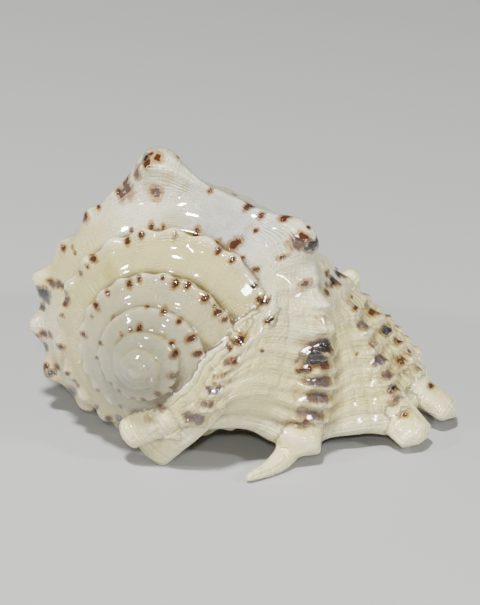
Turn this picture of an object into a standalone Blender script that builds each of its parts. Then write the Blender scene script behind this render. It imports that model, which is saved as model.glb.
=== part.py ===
"""Violet spider conch shell: a spired body whorl, a flared lip with seven folded digits and a bent canal.

The shell is grown the way the animal grows it. A profile is swept round a slowly opening spiral, the
last half turn leaves the spiral and flares into the lip, and each digit of the lip is a folded horn on
the end of one spiral cord. The pieces overlap and are fused into one body by a voxel remesh.

Lengths in the tables are millimetres in the growth frame: the apex is the origin, +Y runs along the axis
to the canal, +X is the lip's side and +Z the back. Growth is in degrees, 0 where the last whorl passes
the left side, 90 over the back and 180 on the lip's side, so earlier whorls are negative.
"""

import math

import bmesh
import bpy
import numpy as np
from mathutils import Euler, Matrix, Vector

MM = 0.001

# Growth spiral of the shoulder, the angle that carries the knobs
SHOULDER_RADIUS = 21.4
GROWTH_PER_TURN = 1.314
GROWTH_SLOWING = -0.031
SPIRE_SLOPE = 0.844
SPIRE_POWER = 1.546
SPIRE_UNIT = 20.0
# The first whorls stand out as a small dome: how far, and within which radius
DOME_RISE = 3.0
DOME_RADIUS = 3.6

APEX_GROWTH = -2500.0
SPIRE_END = -150.0
BODY_START = -330.0
BODY_END = 62.0
WALL_START = 40.0
FLARE_START = 110.0
FLARE_SPAN = 104.0
LIP = FLARE_START + FLARE_SPAN

# Beyond this distance the axis bends down and to the left, towards the canal's end
BEND_FROM = 38.0
BEND_SPAN = 46.0
BEND_POWER = 1.7
BEND_DROP = 12.0
BEND_SIDE = -5.0

# How far the next whorl sits below the shoulder it covers, as a share of that shoulder's radius
SUTURE_DROP = 0.085
# The earliest whorls step down further: how much more, and until which growth
EARLY_DROP = 0.13
EARLY_UNTIL = (-1250.0, -450.0)
SUTURE_TUCK = 0.93
RAMP_SWELL = 0.03
AXIS_OVERLAP = -1.2

# The underside of the last whorl is flatter than the spiral: how much, and where along growth
UNDER_FLAT = 0.115
UNDER_FROM = (-170.0, -120.0)
UNDER_TO = (-62.0, -22.0)

# The profile below the shoulder, one row a column of the net: radius and height in shoulder radii
BODY_PROFILE = (
    (1.000, 0.00),
    (0.975, 0.14),
    (0.925, 0.31),
    (0.850, 0.49),
    (0.765, 0.67),
    (0.675, 0.86),
    (0.585, 1.05),
    (0.470, 1.30),
    (0.360, 1.56),
    (0.265, 1.84),
    (0.180, 2.18),
    (0.120, 2.60),
)
# Share of the ramp, suture to shoulder, at the first columns of the net
RAMP_COLUMNS = (0.0, 0.3, 0.65, 1.0)
SHOULDER_COLUMN = 3
LAST_COLUMN = 14

# The lip's edge without its digits: place, direction of growth there, and how strongly it holds
LIP_EDGE = (
    ((1.6, 4.4, -8.0), (-0.90, 0.10, -0.45), 28.0),
    ((3.2, 6.6, -13.2), (-0.75, -0.20, -0.60), 36.0),
    ((12.3, 10.3, -11.2), (-0.35, -0.35, -0.87), 38.0),
    ((20.7, 20.0, -16.0), (-0.40, -0.25, -0.88), 42.0),
    ((28.6, 26.5, -16.1), (0.10, -0.20, -0.97), 44.0),
    ((34.6, 33.0, -17.0), (0.40, -0.10, -0.90), 45.0),
    ((35.6, 39.0, -15.4), (0.50, 0.00, -0.86), 45.0),
    ((37.5, 43.5, -16.0), (0.55, 0.08, -0.82), 44.0),
    ((35.0, 48.3, -13.6), (0.58, 0.10, -0.80), 43.0),
    ((33.6, 52.5, -13.6), (0.60, 0.20, -0.77), 40.0),
    ((27.8, 57.6, -11.0), (0.64, 0.30, -0.71), 33.0),
    ((19.5, 62.0, -4.8), (0.60, 0.45, -0.66), 24.0),
    ((13.5, 65.5, -5.0), (0.30, 0.20, -0.93), 18.0),
    ((8.5, 71.0, -9.0), (0.00, 0.20, -0.98), 13.0),
    ((3.5, 78.0, -12.5), (-0.20, 0.40, -0.90), 9.0),
)

# Where the last whorl's upper edge leaves its suture and climbs the spire: share of the flare, and place
SUTURE_CLIMB = (
    (0.46, (15.2, 12.6, 6.3)),
    (0.55, (12.4, 10.2, 4.8)),
    (0.63, (11.2, 7.5, 2.7)),
    (0.71, (9.3, 5.6, 1.3)),
    (0.78, (8.2, 4.6, -0.6)),
    (0.86, (7.1, 4.1, -2.8)),
    (0.93, (4.9, 3.7, -5.0)),
    (1.00, (1.6, 4.4, -8.0)),
)
CLIMB_COLUMNS = 3.0
# The flare drapes over the spire between its suture and its shoulder: how far out, and round which column
DRAPE = 3.2
DRAPE_COLUMN = 1.5
DRAPE_WIDTH = 1.35
DRAPE_WAY = (0.35, -0.93, 0.1)

# Wall thickness from the inner end of the wall to the lip, and how it closes at the two long edges
WALL_AT_START = 1.6
WALL_AT_LIP = 3.2
EDGE_FADE_COLUMNS = 0.4

# Knobs on the shoulder of the last whorl: growth, height, half width along growth
SHOULDER_KNOBS = (
    (-88.0, 0.8, 6.0),
    (-66.0, 1.0, 6.0),
    (-45.0, 1.1, 6.0),
    (-24.0, 1.8, 5.0),
    (-4.0, 2.0, 4.8),
    (16.0, 2.0, 4.8),
    (34.0, 1.1, 4.8),
    (42.0, -1.4, 13.0),
    (51.0, 1.2, 4.8),
    (66.0, 0.5, 4.5),
    (84.5, 6.0, 11.5),
    (141.0, 4.9, 11.5),
    (168.0, 1.4, 8.0),
)
KNOB_COLUMNS = 0.55
# Nodules of the spire's shoulder: their step in degrees, and their height from young to old in shoulder radii
NODULE_STEP = 17.0
NODULE_HEIGHT = (0.030, 0.062)
NODULE_GROWTH = (-1000.0, -380.0)
KEEL_HEIGHT = 0.015
# The shoulder stays plain where the lip covers it: from, and until
COVERED_FROM = (-234.0, -216.0)
COVERED_UNTIL = (-160.0, -146.0)

# Spiral cords: column, height on the body whorl, height at the lip, half width in columns
CORDS = (
    (1.0, 0.0, 2.1, 0.44),
    (2.0, 0.0, 0.35, 0.30),
    (3.0, 0.35, 3.7, 0.38),
    (4.0, 0.30, 0.45, 0.28),
    (5.0, 0.50, 2.5, 0.42),
    (6.0, 0.30, 0.45, 0.28),
    (6.8, 0.55, 2.4, 0.44),
    (8.0, 0.30, 0.45, 0.28),
    (9.0, 0.50, 2.2, 0.45),
    (10.1, 0.40, 1.2, 0.35),
    (11.0, 0.35, 1.2, 0.35),
    (12.0, 0.25, 0.50, 0.30),
)
BEAD_STEP = 9.0
# Where the cords rise to their height at the lip, and the share of it that stays between two ledges
CORD_RISE = (124.0, 205.0)
CORD_LOW = 0.42
CORD_MORE = 0.70
# Old lips stay as ledges: where they stand, how high, and how far they bow back over a cord
LEDGES = (110.0, 126.0, 139.0, 150.0, 159.5, 168.5, 177.5, 185.5, 191.5, 197.5, 203.5, 209.5, 216.0)
LEDGE_HEIGHT = 0.50
LEDGE_LEAD = 3.5

# Where the back of a digit faces
HIND_SIDE = (0.10, -0.95, 0.30)
SLEEVE_SIDE = (0.55, -0.70, 0.30)
CORNER_SIDE = (0.70, -0.50, 0.40)
OUTER_SIDE = (0.80, 0.05, 0.55)
FORE_SIDE = (0.70, 0.40, 0.55)
# Digits of the lip: the cord column each grows from, how far back it is rooted (degrees of growth), its
# further points, half width and half height at its root, middle and tip, and where its back faces
DIGITS = {
    "hind_upper": (0.45, 16.0, ((0.6, 5.4, -10.8), (-3.3, 5.6, -13.4)), ((2.6, 1.6), (2.9, 1.8), (2.5, 1.4)), HIND_SIDE),
    "hind_lower": (1.2, 18.0, ((3.0, 7.4, -12.6), (-0.6, 9.7, -17.0)), ((3.0, 1.8), (3.9, 2.1), (3.6, 1.7)), HIND_SIDE),
    "hind_sleeve": (3.0, 24.0, ((21.0, 17.2, -17.0),), ((3.2, 2.0), (3.8, 2.6), (4.3, 2.7)), SLEEVE_SIDE),
    "hind_spike": (3.0, 10.0, ((19.4, 15.8, -18.4), (15.2, 8.0, -19.5)), ((2.6, 1.9), (2.4, 1.7), (0.7, 0.6)), SLEEVE_SIDE),
    "corner": (5.0, 20.0, ((37.9, 31.2, -19.2),), ((3.0, 2.0), (3.9, 2.4), (3.6, 2.0)), CORNER_SIDE),
    "side": (6.8, 18.0, ((40.9, 42.4, -18.6),), ((2.8, 2.0), (3.8, 2.6), (3.6, 2.3)), OUTER_SIDE),
    "side_knobbed": (9.0, 14.0, ((35.0, 53.6, -17.4),), ((2.2, 1.6), (3.0, 2.0), (2.3, 1.6)), FORE_SIDE),
    "fore": (10.1, 12.0, ((28.6, 59.4, -15.6),), ((2.0, 1.4), (2.6, 1.8), (2.0, 1.4)), FORE_SIDE),
    "notch_lobe": (11.0, 8.0, ((20.5, 63.3, -3.2),), ((2.2, 1.8), (2.5, 2.2), (2.0, 1.9)), FORE_SIDE),
    "notch_fold": (11.2, 8.0, ((20.9, 62.8, -6.3),), ((2.2, 1.8), (2.5, 2.2), (2.0, 1.9)), FORE_SIDE),
}
DIGIT_SINK = 1.4
DIGIT_GUTTER = 0.42

# The siphonal canal: its path, half width and wall, open along its lower side
CANAL_PATH = (
    (0.0, 38.0, 0.0),
    (0.5, 50.0, -2.0),
    (1.6, 60.0, -5.0),
    (1.2, 69.0, -8.6),
    (-1.4, 77.5, -12.2),
    (-5.6, 85.0, -14.6),
)
CANAL_RADII = ((3.0, 3.0), (6.0, 5.6), (6.2, 5.4), (5.4, 4.6), (4.2, 3.8), (2.6, 2.4))
CANAL_GUTTER = 1.0

# Mesh size
ROW_LENGTH = 1.0
COLUMN_STEP = 0.10
VOXEL = 0.6
SMOOTH_STEPS = 3
TRIANGLE_SHARE = 0.078

# How the growth frame is turned, in degrees about +X then +Y, so that the shell lies on its own feet
LIE_TURN = (-2.4, -5.4)

IVORY = (0.80, 0.76, 0.64, 1.0)


def spline(knots, values, at):
    """Natural cubic spline through values (n, k) at knots, read at any array of places."""
    knots = np.asarray(knots, float)
    values = np.asarray(values, float)
    gaps = np.diff(knots)
    count = len(knots)
    matrix = np.eye(count)
    right = np.zeros_like(values)
    for i in range(1, count - 1):
        matrix[i, i - 1 : i + 2] = (gaps[i - 1], 2 * (gaps[i - 1] + gaps[i]), gaps[i])
        right[i] = 6 * ((values[i + 1] - values[i]) / gaps[i] - (values[i] - values[i - 1]) / gaps[i - 1])
    bends = np.linalg.solve(matrix, right)
    at = np.clip(np.asarray(at, float), knots[0], knots[-1])
    cell = np.clip(np.searchsorted(knots, at, side="right") - 1, 0, count - 2)
    gap = gaps[cell][..., None]
    after = ((at - knots[cell])[..., None]) / gap
    before = 1 - after
    return (
        before * values[cell]
        + after * values[cell + 1]
        + ((before**3 - before) * bends[cell] + (after**3 - after) * bends[cell + 1]) * gap**2 / 6
    )


def ease(low, high, x):
    """0 below low, 1 above high, smooth between."""
    t = np.clip((x - low) / (high - low), 0.0, 1.0)
    return t * t * (3 - 2 * t)


def hump(x, centre, half_width):
    """A smooth bump of height 1."""
    return np.exp(-(((x - centre) / half_width) ** 2))


def shoulder_radius(growth):
    """Radius of the shoulder at a growth angle."""
    turns = growth / 360.0
    return SHOULDER_RADIUS * GROWTH_PER_TURN**turns * np.exp(GROWTH_SLOWING * turns**2)


def shoulder_height(growth):
    """Distance of the shoulder from the apex, along the axis."""
    radius = shoulder_radius(growth)
    return SPIRE_SLOPE * SPIRE_UNIT * (radius / SPIRE_UNIT) ** SPIRE_POWER - DOME_RISE * hump(radius, 0.0, DOME_RADIUS)


def round_axis(radius, height, growth):
    """Points at this radius and height, turned round the axis to their growth angle; the axis bends at the canal."""
    angle = np.radians(growth)
    onward = np.clip((height + 0 * angle - BEND_FROM) / BEND_SPAN, 0.0, None)
    x = -radius * np.cos(angle) + BEND_SIDE * onward**BEND_POWER
    z = radius * np.sin(angle) - BEND_DROP * onward**BEND_POWER
    return np.stack([x, height + 0 * angle, z], axis=-1)


def profile(growth, column):
    """Radius and height of the regular whorl at a growth angle and a column of the net."""
    radius, height = shoulder_radius(growth), shoulder_height(growth)
    inner = shoulder_radius(growth - 360.0)
    drop = SUTURE_DROP + EARLY_DROP * (1 - ease(*EARLY_UNTIL, growth))
    suture_height = shoulder_height(growth - 360.0) + drop * inner
    share = spline(range(len(RAMP_COLUMNS)), np.array(RAMP_COLUMNS)[:, None], np.minimum(column, SHOULDER_COLUMN))[..., 0]
    swell = RAMP_SWELL * radius * np.sin(math.pi * share) ** 2
    tucked = SUTURE_TUCK * inner
    ramp_radius = tucked + (radius - tucked) * share + 0.5 * swell
    ramp_height = suture_height + (height - suture_height) * share - swell
    below = spline(range(SHOULDER_COLUMN, LAST_COLUMN + 1), BODY_PROFILE, np.maximum(column, SHOULDER_COLUMN))
    on_ramp = column <= SHOULDER_COLUMN
    return (
        np.where(on_ramp, ramp_radius, radius * below[..., 0]),
        np.where(on_ramp, ramp_height, height + radius * below[..., 1]),
    )


def regular(growth, column):
    """Points of the regular whorl."""
    radius, height = profile(growth, column)
    radius = radius * (1 - UNDER_FLAT * ease(*UNDER_FROM, growth) * (1 - ease(*UNDER_TO, growth)))
    return round_axis(radius, height, growth)


def climb(share, column, edge):
    """How far the flare's upper columns are moved, so that their edge follows the suture's climb up the spire."""
    knots = [knot for knot, _ in SUTURE_CLIMB]
    places = np.array([place for _, place in SUTURE_CLIMB])
    move = spline(knots, places, share[:, :1]) - edge
    move = move * ease(0.1, knots[0] + 0.04, share[:, :1])[..., None]
    move = move * (1 - ease(0.0, CLIMB_COLUMNS, column))[..., None]
    drape = DRAPE * hump(column, DRAPE_COLUMN, DRAPE_WIDTH) * ease(0.30, 0.60, share) * (1 - ease(0.85, 1.0, share))
    return move + drape[..., None] * np.array(DRAPE_WAY)


def led_out(share, column):
    """Leads each column on a smooth curve from the regular whorl to its end at the lip."""
    step = 0.5
    start = regular(np.full_like(column, FLARE_START), column)
    start_way = (start - regular(np.full_like(column, FLARE_START - step), column)) / step * FLARE_SPAN
    places = np.array([place for place, _, _ in LIP_EDGE])
    ways = np.array([np.array(way) / np.linalg.norm(way) * hold for _, way, hold in LIP_EDGE])
    end = spline(range(LAST_COLUMN + 1), places, column)
    end_way = spline(range(LAST_COLUMN + 1), ways, column)
    share = share[..., None]
    return (
        (2 * share**3 - 3 * share**2 + 1) * start
        + (share**3 - 2 * share**2 + share) * start_way
        + (3 * share**2 - 2 * share**3) * end
        + (share**3 - share**2) * end_way
    )


def flared(growth, column):
    """Points of the last whorl: regular up to FLARE_START, then led out along the flare to the lip's edge."""
    share = np.clip((growth - FLARE_START) / FLARE_SPAN, 0.0, 1.0)
    upper_edge = led_out(share[:, :1], np.zeros_like(column[:, :1]))
    led = led_out(share, column)
    led = led + climb(share, column, upper_edge)
    return np.where((growth > FLARE_START)[..., None], led, regular(growth, column))


def ledge(growth):
    """Rises from each old lip to the next and drops there."""
    stops = np.array(LEDGES)
    cell = np.clip(np.searchsorted(stops, growth, side="right") - 1, 0, len(stops) - 2)
    t = np.clip((growth - stops[cell]) / (stops[cell + 1] - stops[cell]), 0.0, 1.0)
    return t**2 * (1 - ease(0.9, 1.0, t))


def relief(growth, column):
    """Height of the knobs, nodules, cords and growth ledges above the plain surface, in millimetres."""
    radius = shoulder_radius(growth)
    to_lip = ease(FLARE_START - 10.0, LIP - 10.0, growth)
    height = np.zeros_like(growth)
    for at, tall, half in SHOULDER_KNOBS:
        side = np.where(column < SHOULDER_COLUMN, KNOB_COLUMNS * 0.75, KNOB_COLUMNS * 1.5)
        side = side * (1.0 + 0.5 * (tall > 3))
        height += tall * hump(growth, at, half) * hump(column, SHOULDER_COLUMN, side)
    early = 1 - ease(-130.0, -100.0, growth)
    nodules = 0.5 - 0.5 * np.cos(2 * math.pi * growth / NODULE_STEP)
    low, high = NODULE_HEIGHT
    tall = (low + (high - low) * ease(*NODULE_GROWTH, growth)) * ease(-1500.0, -1200.0, growth)
    bare = 1 - ease(*COVERED_FROM, growth) * (1 - ease(*COVERED_UNTIL, growth))
    height += early * radius * (KEEL_HEIGHT + tall * nodules) * bare * hump(column, SHOULDER_COLUMN, 0.5)
    crests = sum(hump(column, at, half) * min(at_lip, 2.0) / 2.0 for at, _, at_lip, half in CORDS)
    plate = ledge(growth + LEDGE_LEAD * crests * to_lip)
    beads = 0.75 + 0.25 * np.cos(2 * math.pi * growth / BEAD_STEP)
    risen = ease(*CORD_RISE, growth)
    for at, on_body, at_lip, half in CORDS:
        body_height = on_body * beads * ease(-200.0, 0.0, growth) * (1 - risen)
        lip_height = at_lip * (CORD_LOW + CORD_MORE * plate) * risen
        height += (body_height + lip_height) * hump(column, at, half)
    return height + LEDGE_HEIGHT * to_lip * plate


def normals_of(points):
    """Unit normals of a net of points, rows by columns."""
    normal = np.cross(np.gradient(points, axis=0), np.gradient(points, axis=1))
    return normal / np.maximum(np.linalg.norm(normal, axis=-1, keepdims=True), 1e-9)


def growth_rows(start, end, length):
    """Growth angles from start to end, about this far apart along the shoulder."""
    rows = [start]
    while rows[-1] < end:
        rows.append(rows[-1] + math.degrees(length / max(float(shoulder_radius(rows[-1])), 3.0)))
    rows[-1] = end
    return np.array(rows)


def add_net(bm, points, wrap_rows=False):
    """Lays a grid over a net of points, rows by columns, welds its seams and fills its ends."""
    if wrap_rows:
        points = np.concatenate([points, points[:1]], axis=0)
    rows, columns = points.shape[:2]
    made = bmesh.ops.create_grid(bm, x_segments=rows - 1, y_segments=columns - 1, size=1.0)["verts"]
    for vert in made:
        row = round((vert.co.x + 1) / 2 * (rows - 1))
        column = round((vert.co.y + 1) / 2 * (columns - 1))
        vert.co = Vector(points[row, column])
    bmesh.ops.remove_doubles(bm, verts=made, dist=1e-4)


def closed_piece(points, wrap_rows=False):
    """A bmesh of one closed piece, its faces pointing out."""
    bm = bmesh.new()
    add_net(bm, points, wrap_rows)
    rims = [edge for edge in bm.edges if edge.is_boundary]
    if rims:
        bmesh.ops.holes_fill(bm, edges=rims)
    bmesh.ops.recalc_face_normals(bm, faces=bm.faces)
    return bm


def whorl_solid(start, end, columns, length):
    """A closed solid swept from the axis out to the whorl's surface."""
    growth, column = np.meshgrid(growth_rows(start, end, length), columns, indexing="ij")
    surface = regular(growth, column)
    surface = surface + normals_of(surface) * relief(growth, column)[..., None]
    top = round_axis(AXIS_OVERLAP, surface[:, :1, 1], growth[:, :1])
    bottom = round_axis(AXIS_OVERLAP, surface[:, -1:, 1], growth[:, -1:])
    return closed_piece(np.concatenate([top, surface, bottom, top], axis=1))


def lip_wall(length, column_step):
    """The wall of the last half turn and the flared lip, rounded over at its edge."""
    growth, column = np.meshgrid(
        growth_rows(WALL_START, LIP, length), np.arange(0, LAST_COLUMN + column_step / 2, column_step), indexing="ij"
    )
    plain = flared(growth, column)
    normal = normals_of(plain)
    outer = plain + normal * relief(growth, column)[..., None]
    thick = WALL_AT_START + (WALL_AT_LIP - WALL_AT_START) * ease(120.0, LIP - 15.0, growth)
    thick = thick * ease(0.0, EDGE_FADE_COLUMNS, column) * ease(0.0, EDGE_FADE_COLUMNS, LAST_COLUMN - column)
    inner = plain - normal * thick[..., None]
    middle = (outer[-1] + inner[-1]) / 2
    half = (outer[-1] - inner[-1]) / 2
    onward = plain[-1] - plain[-2]
    onward = onward / np.linalg.norm(onward, axis=-1, keepdims=True) * np.linalg.norm(half, axis=-1, keepdims=True)
    rim = [middle + half * math.cos(t) + onward * math.sin(t) for t in np.linspace(0, math.pi, 7)[1:-1]]
    return closed_piece(np.concatenate([outer, rim, inner[::-1]], axis=0), wrap_rows=True)


def digit_path(column, root, onward):
    """The points a digit runs through: two under the skin of its cord, then its own."""
    growth = np.linspace(LIP - root, LIP, 9)
    near = np.array([column - 0.05, column, column + 0.05])
    growth, near = np.meshgrid(growth, near, indexing="ij")
    points = flared(growth, near)
    sunk = points - normals_of(points) * DIGIT_SINK
    return (tuple(sunk[0, 1]), tuple(sunk[5, 1])) + tuple(onward)


def horn(path, sizes, gutter, outward, sides=20, steps=16):
    """A tapering horn along a path, its back facing outward, hollowed along its other side."""
    share = np.linspace(0, 1, steps)
    knots = np.linspace(0, 1, len(path))
    line = spline(knots, np.array(path), share)
    size = spline(np.linspace(0, 1, len(sizes)), np.array(sizes), share)
    way = np.gradient(line, axis=0)
    way = way / np.linalg.norm(way, axis=-1, keepdims=True)
    across = np.cross(way, np.array(outward))
    across = across / np.linalg.norm(across, axis=-1, keepdims=True)
    over = np.cross(across, way)
    turn = np.linspace(0, 2 * math.pi, sides + 1)[None, :, None]
    low = gutter * hump(turn, 1.5 * math.pi, 0.85)
    ring = (
        line[:, None]
        + across[:, None] * np.cos(turn) * size[:, None, :1]
        + over[:, None] * np.sin(turn) * (1 - low * 1.5) * size[:, None, 1:]
    )
    end = ring[-1:].mean(axis=1, keepdims=True) + way[-1] * size[-1, 1] * 0.8
    tip = end + (ring[-1:] - end) * 0.45
    start = np.repeat(line[None, :1], sides + 1, axis=1)
    finish = np.repeat(end, sides + 1, axis=1)
    return closed_piece(np.concatenate([start, ring, tip, finish], axis=0))


def build_shell():
    """Every piece of the shell in one mesh, as one object with the modifiers that fuse it."""
    pieces = [
        whorl_solid(APEX_GROWTH, SPIRE_END, np.arange(0, 5.01, COLUMN_STEP), ROW_LENGTH),
        whorl_solid(BODY_START, BODY_END, np.arange(0, LAST_COLUMN + 0.01, COLUMN_STEP), ROW_LENGTH),
        lip_wall(ROW_LENGTH, COLUMN_STEP),
        horn(CANAL_PATH, CANAL_RADII, CANAL_GUTTER, (0.0, 0.0, 1.0), sides=32, steps=30),
    ]
    for column, root, onward, sizes, outward in DIGITS.values():
        pieces.append(horn(digit_path(column, root, onward), sizes, DIGIT_GUTTER, outward))
    mesh = bpy.data.meshes.new("shell")
    whole = bmesh.new()
    for piece in pieces:
        piece.to_mesh(mesh)
        piece.free()
        whole.from_mesh(mesh)
    turned = Euler((math.radians(LIE_TURN[0]), math.radians(LIE_TURN[1]), 0.0)).to_matrix()
    bmesh.ops.transform(whole, matrix=(turned * MM).to_4x4(), verts=whole.verts)
    whole.to_mesh(mesh)
    whole.free()
    shell = bpy.data.objects.new("shell", mesh)
    bpy.context.scene.collection.objects.link(shell)
    return shell


def fuse(shell):
    """Fuses the overlapping pieces into one skin, eases its steps and thins its triangles."""
    skin = shell.modifiers.new("skin", "REMESH")
    skin.mode = "VOXEL"
    skin.voxel_size = VOXEL * MM
    ease_steps = shell.modifiers.new("ease", "SMOOTH")
    ease_steps.factor = 0.5
    ease_steps.iterations = SMOOTH_STEPS
    thin = shell.modifiers.new("thin", "DECIMATE")
    thin.ratio = TRIANGLE_SHARE


def settle(shell):
    """Keeps the fused mesh as the object's own and sets it down: the middle of its box's bottom is the origin."""
    graph = bpy.context.evaluated_depsgraph_get()
    skin = bpy.data.meshes.new_from_object(shell.evaluated_get(graph))
    shell.modifiers.clear()
    shell.data = skin
    spots = np.array([vert.co[:] for vert in skin.vertices])
    low, high = spots.min(axis=0), spots.max(axis=0)
    middle = (low + high) / 2
    skin.transform(Matrix.Translation((-middle[0], -middle[1], -low[2])))


def ivory():
    """The shell's own plain finish."""
    material = bpy.data.materials.new("ivory_shell")
    material.use_nodes = True
    surface = material.node_tree.nodes["Principled BSDF"]
    surface.inputs["Base Color"].default_value = IVORY
    surface.inputs["Roughness"].default_value = 0.25
    surface.inputs["Metallic"].default_value = 0.0
    return material


def main():
    """Clears the scene and builds the shell."""
    for obj in list(bpy.data.objects):
        bpy.data.objects.remove(obj)
    shell = build_shell()
    fuse(shell)
    settle(shell)
    shell.data.materials.append(ivory())


main()
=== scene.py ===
"""A violet spider conch shell lying on its lip, seen from its spire, on a pale floor in soft light.

The shell is made the way the animal makes it. Nets of points grow round a slowly opening spiral, the last
half turn flares out into the lip, and folded horns grow from the lip's cords. The closed nets overlap and
are fused into one skin, which then reads its growth angle and its place on the profile back from the nets.
Colour and the fine relief follow those two values.

Sizes inside the growth frame are millimetres: the apex is the origin, +Y runs along the axis to the canal,
+X is the lip's side, +Z the back. Growth is in degrees and a column is a place along the profile, from 0 at
the suture over 3 at the knobbed shoulder to 14 at the canal.
"""

from __future__ import annotations

import logging
import math
from dataclasses import dataclass, field
from enum import Enum

import bmesh
import bpy
import numpy as np
from mathutils import Euler, Matrix, Vector
from mathutils.bvhtree import BVHTree

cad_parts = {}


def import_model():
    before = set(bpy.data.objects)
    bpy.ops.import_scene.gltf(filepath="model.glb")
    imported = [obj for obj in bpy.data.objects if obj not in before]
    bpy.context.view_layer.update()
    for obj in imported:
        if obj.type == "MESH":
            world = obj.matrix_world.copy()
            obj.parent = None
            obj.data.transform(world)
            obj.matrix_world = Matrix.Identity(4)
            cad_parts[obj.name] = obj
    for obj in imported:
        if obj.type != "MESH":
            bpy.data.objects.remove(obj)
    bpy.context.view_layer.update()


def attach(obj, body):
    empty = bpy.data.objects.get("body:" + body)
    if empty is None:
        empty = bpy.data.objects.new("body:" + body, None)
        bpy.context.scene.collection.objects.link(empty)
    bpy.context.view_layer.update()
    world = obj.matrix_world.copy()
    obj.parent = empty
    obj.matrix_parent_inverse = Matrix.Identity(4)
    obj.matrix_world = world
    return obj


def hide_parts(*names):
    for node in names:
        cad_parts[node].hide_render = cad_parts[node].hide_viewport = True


LOG = logging.getLogger("spider_conch")
MM = 0.001
SHELL_NODE = "shell"
# What each point of the skin knows: its growth angle, its place on the profile, and 1 on the inner face
VALUES = ("growth", "column", "inside")
Array = np.ndarray
Object = bpy.types.Object
Socket = bpy.types.NodeSocket
Node = bpy.types.Node
Point = tuple[float, float, float]
Colour = tuple[float, float, float, float]


class Tint(Enum):
    """The pigments of the shell's spots, each with the name of the attribute that holds its field."""

    BROWN = "spot_brown"
    BLACK = "spot_black"
    OLIVE = "spot_olive"


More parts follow.
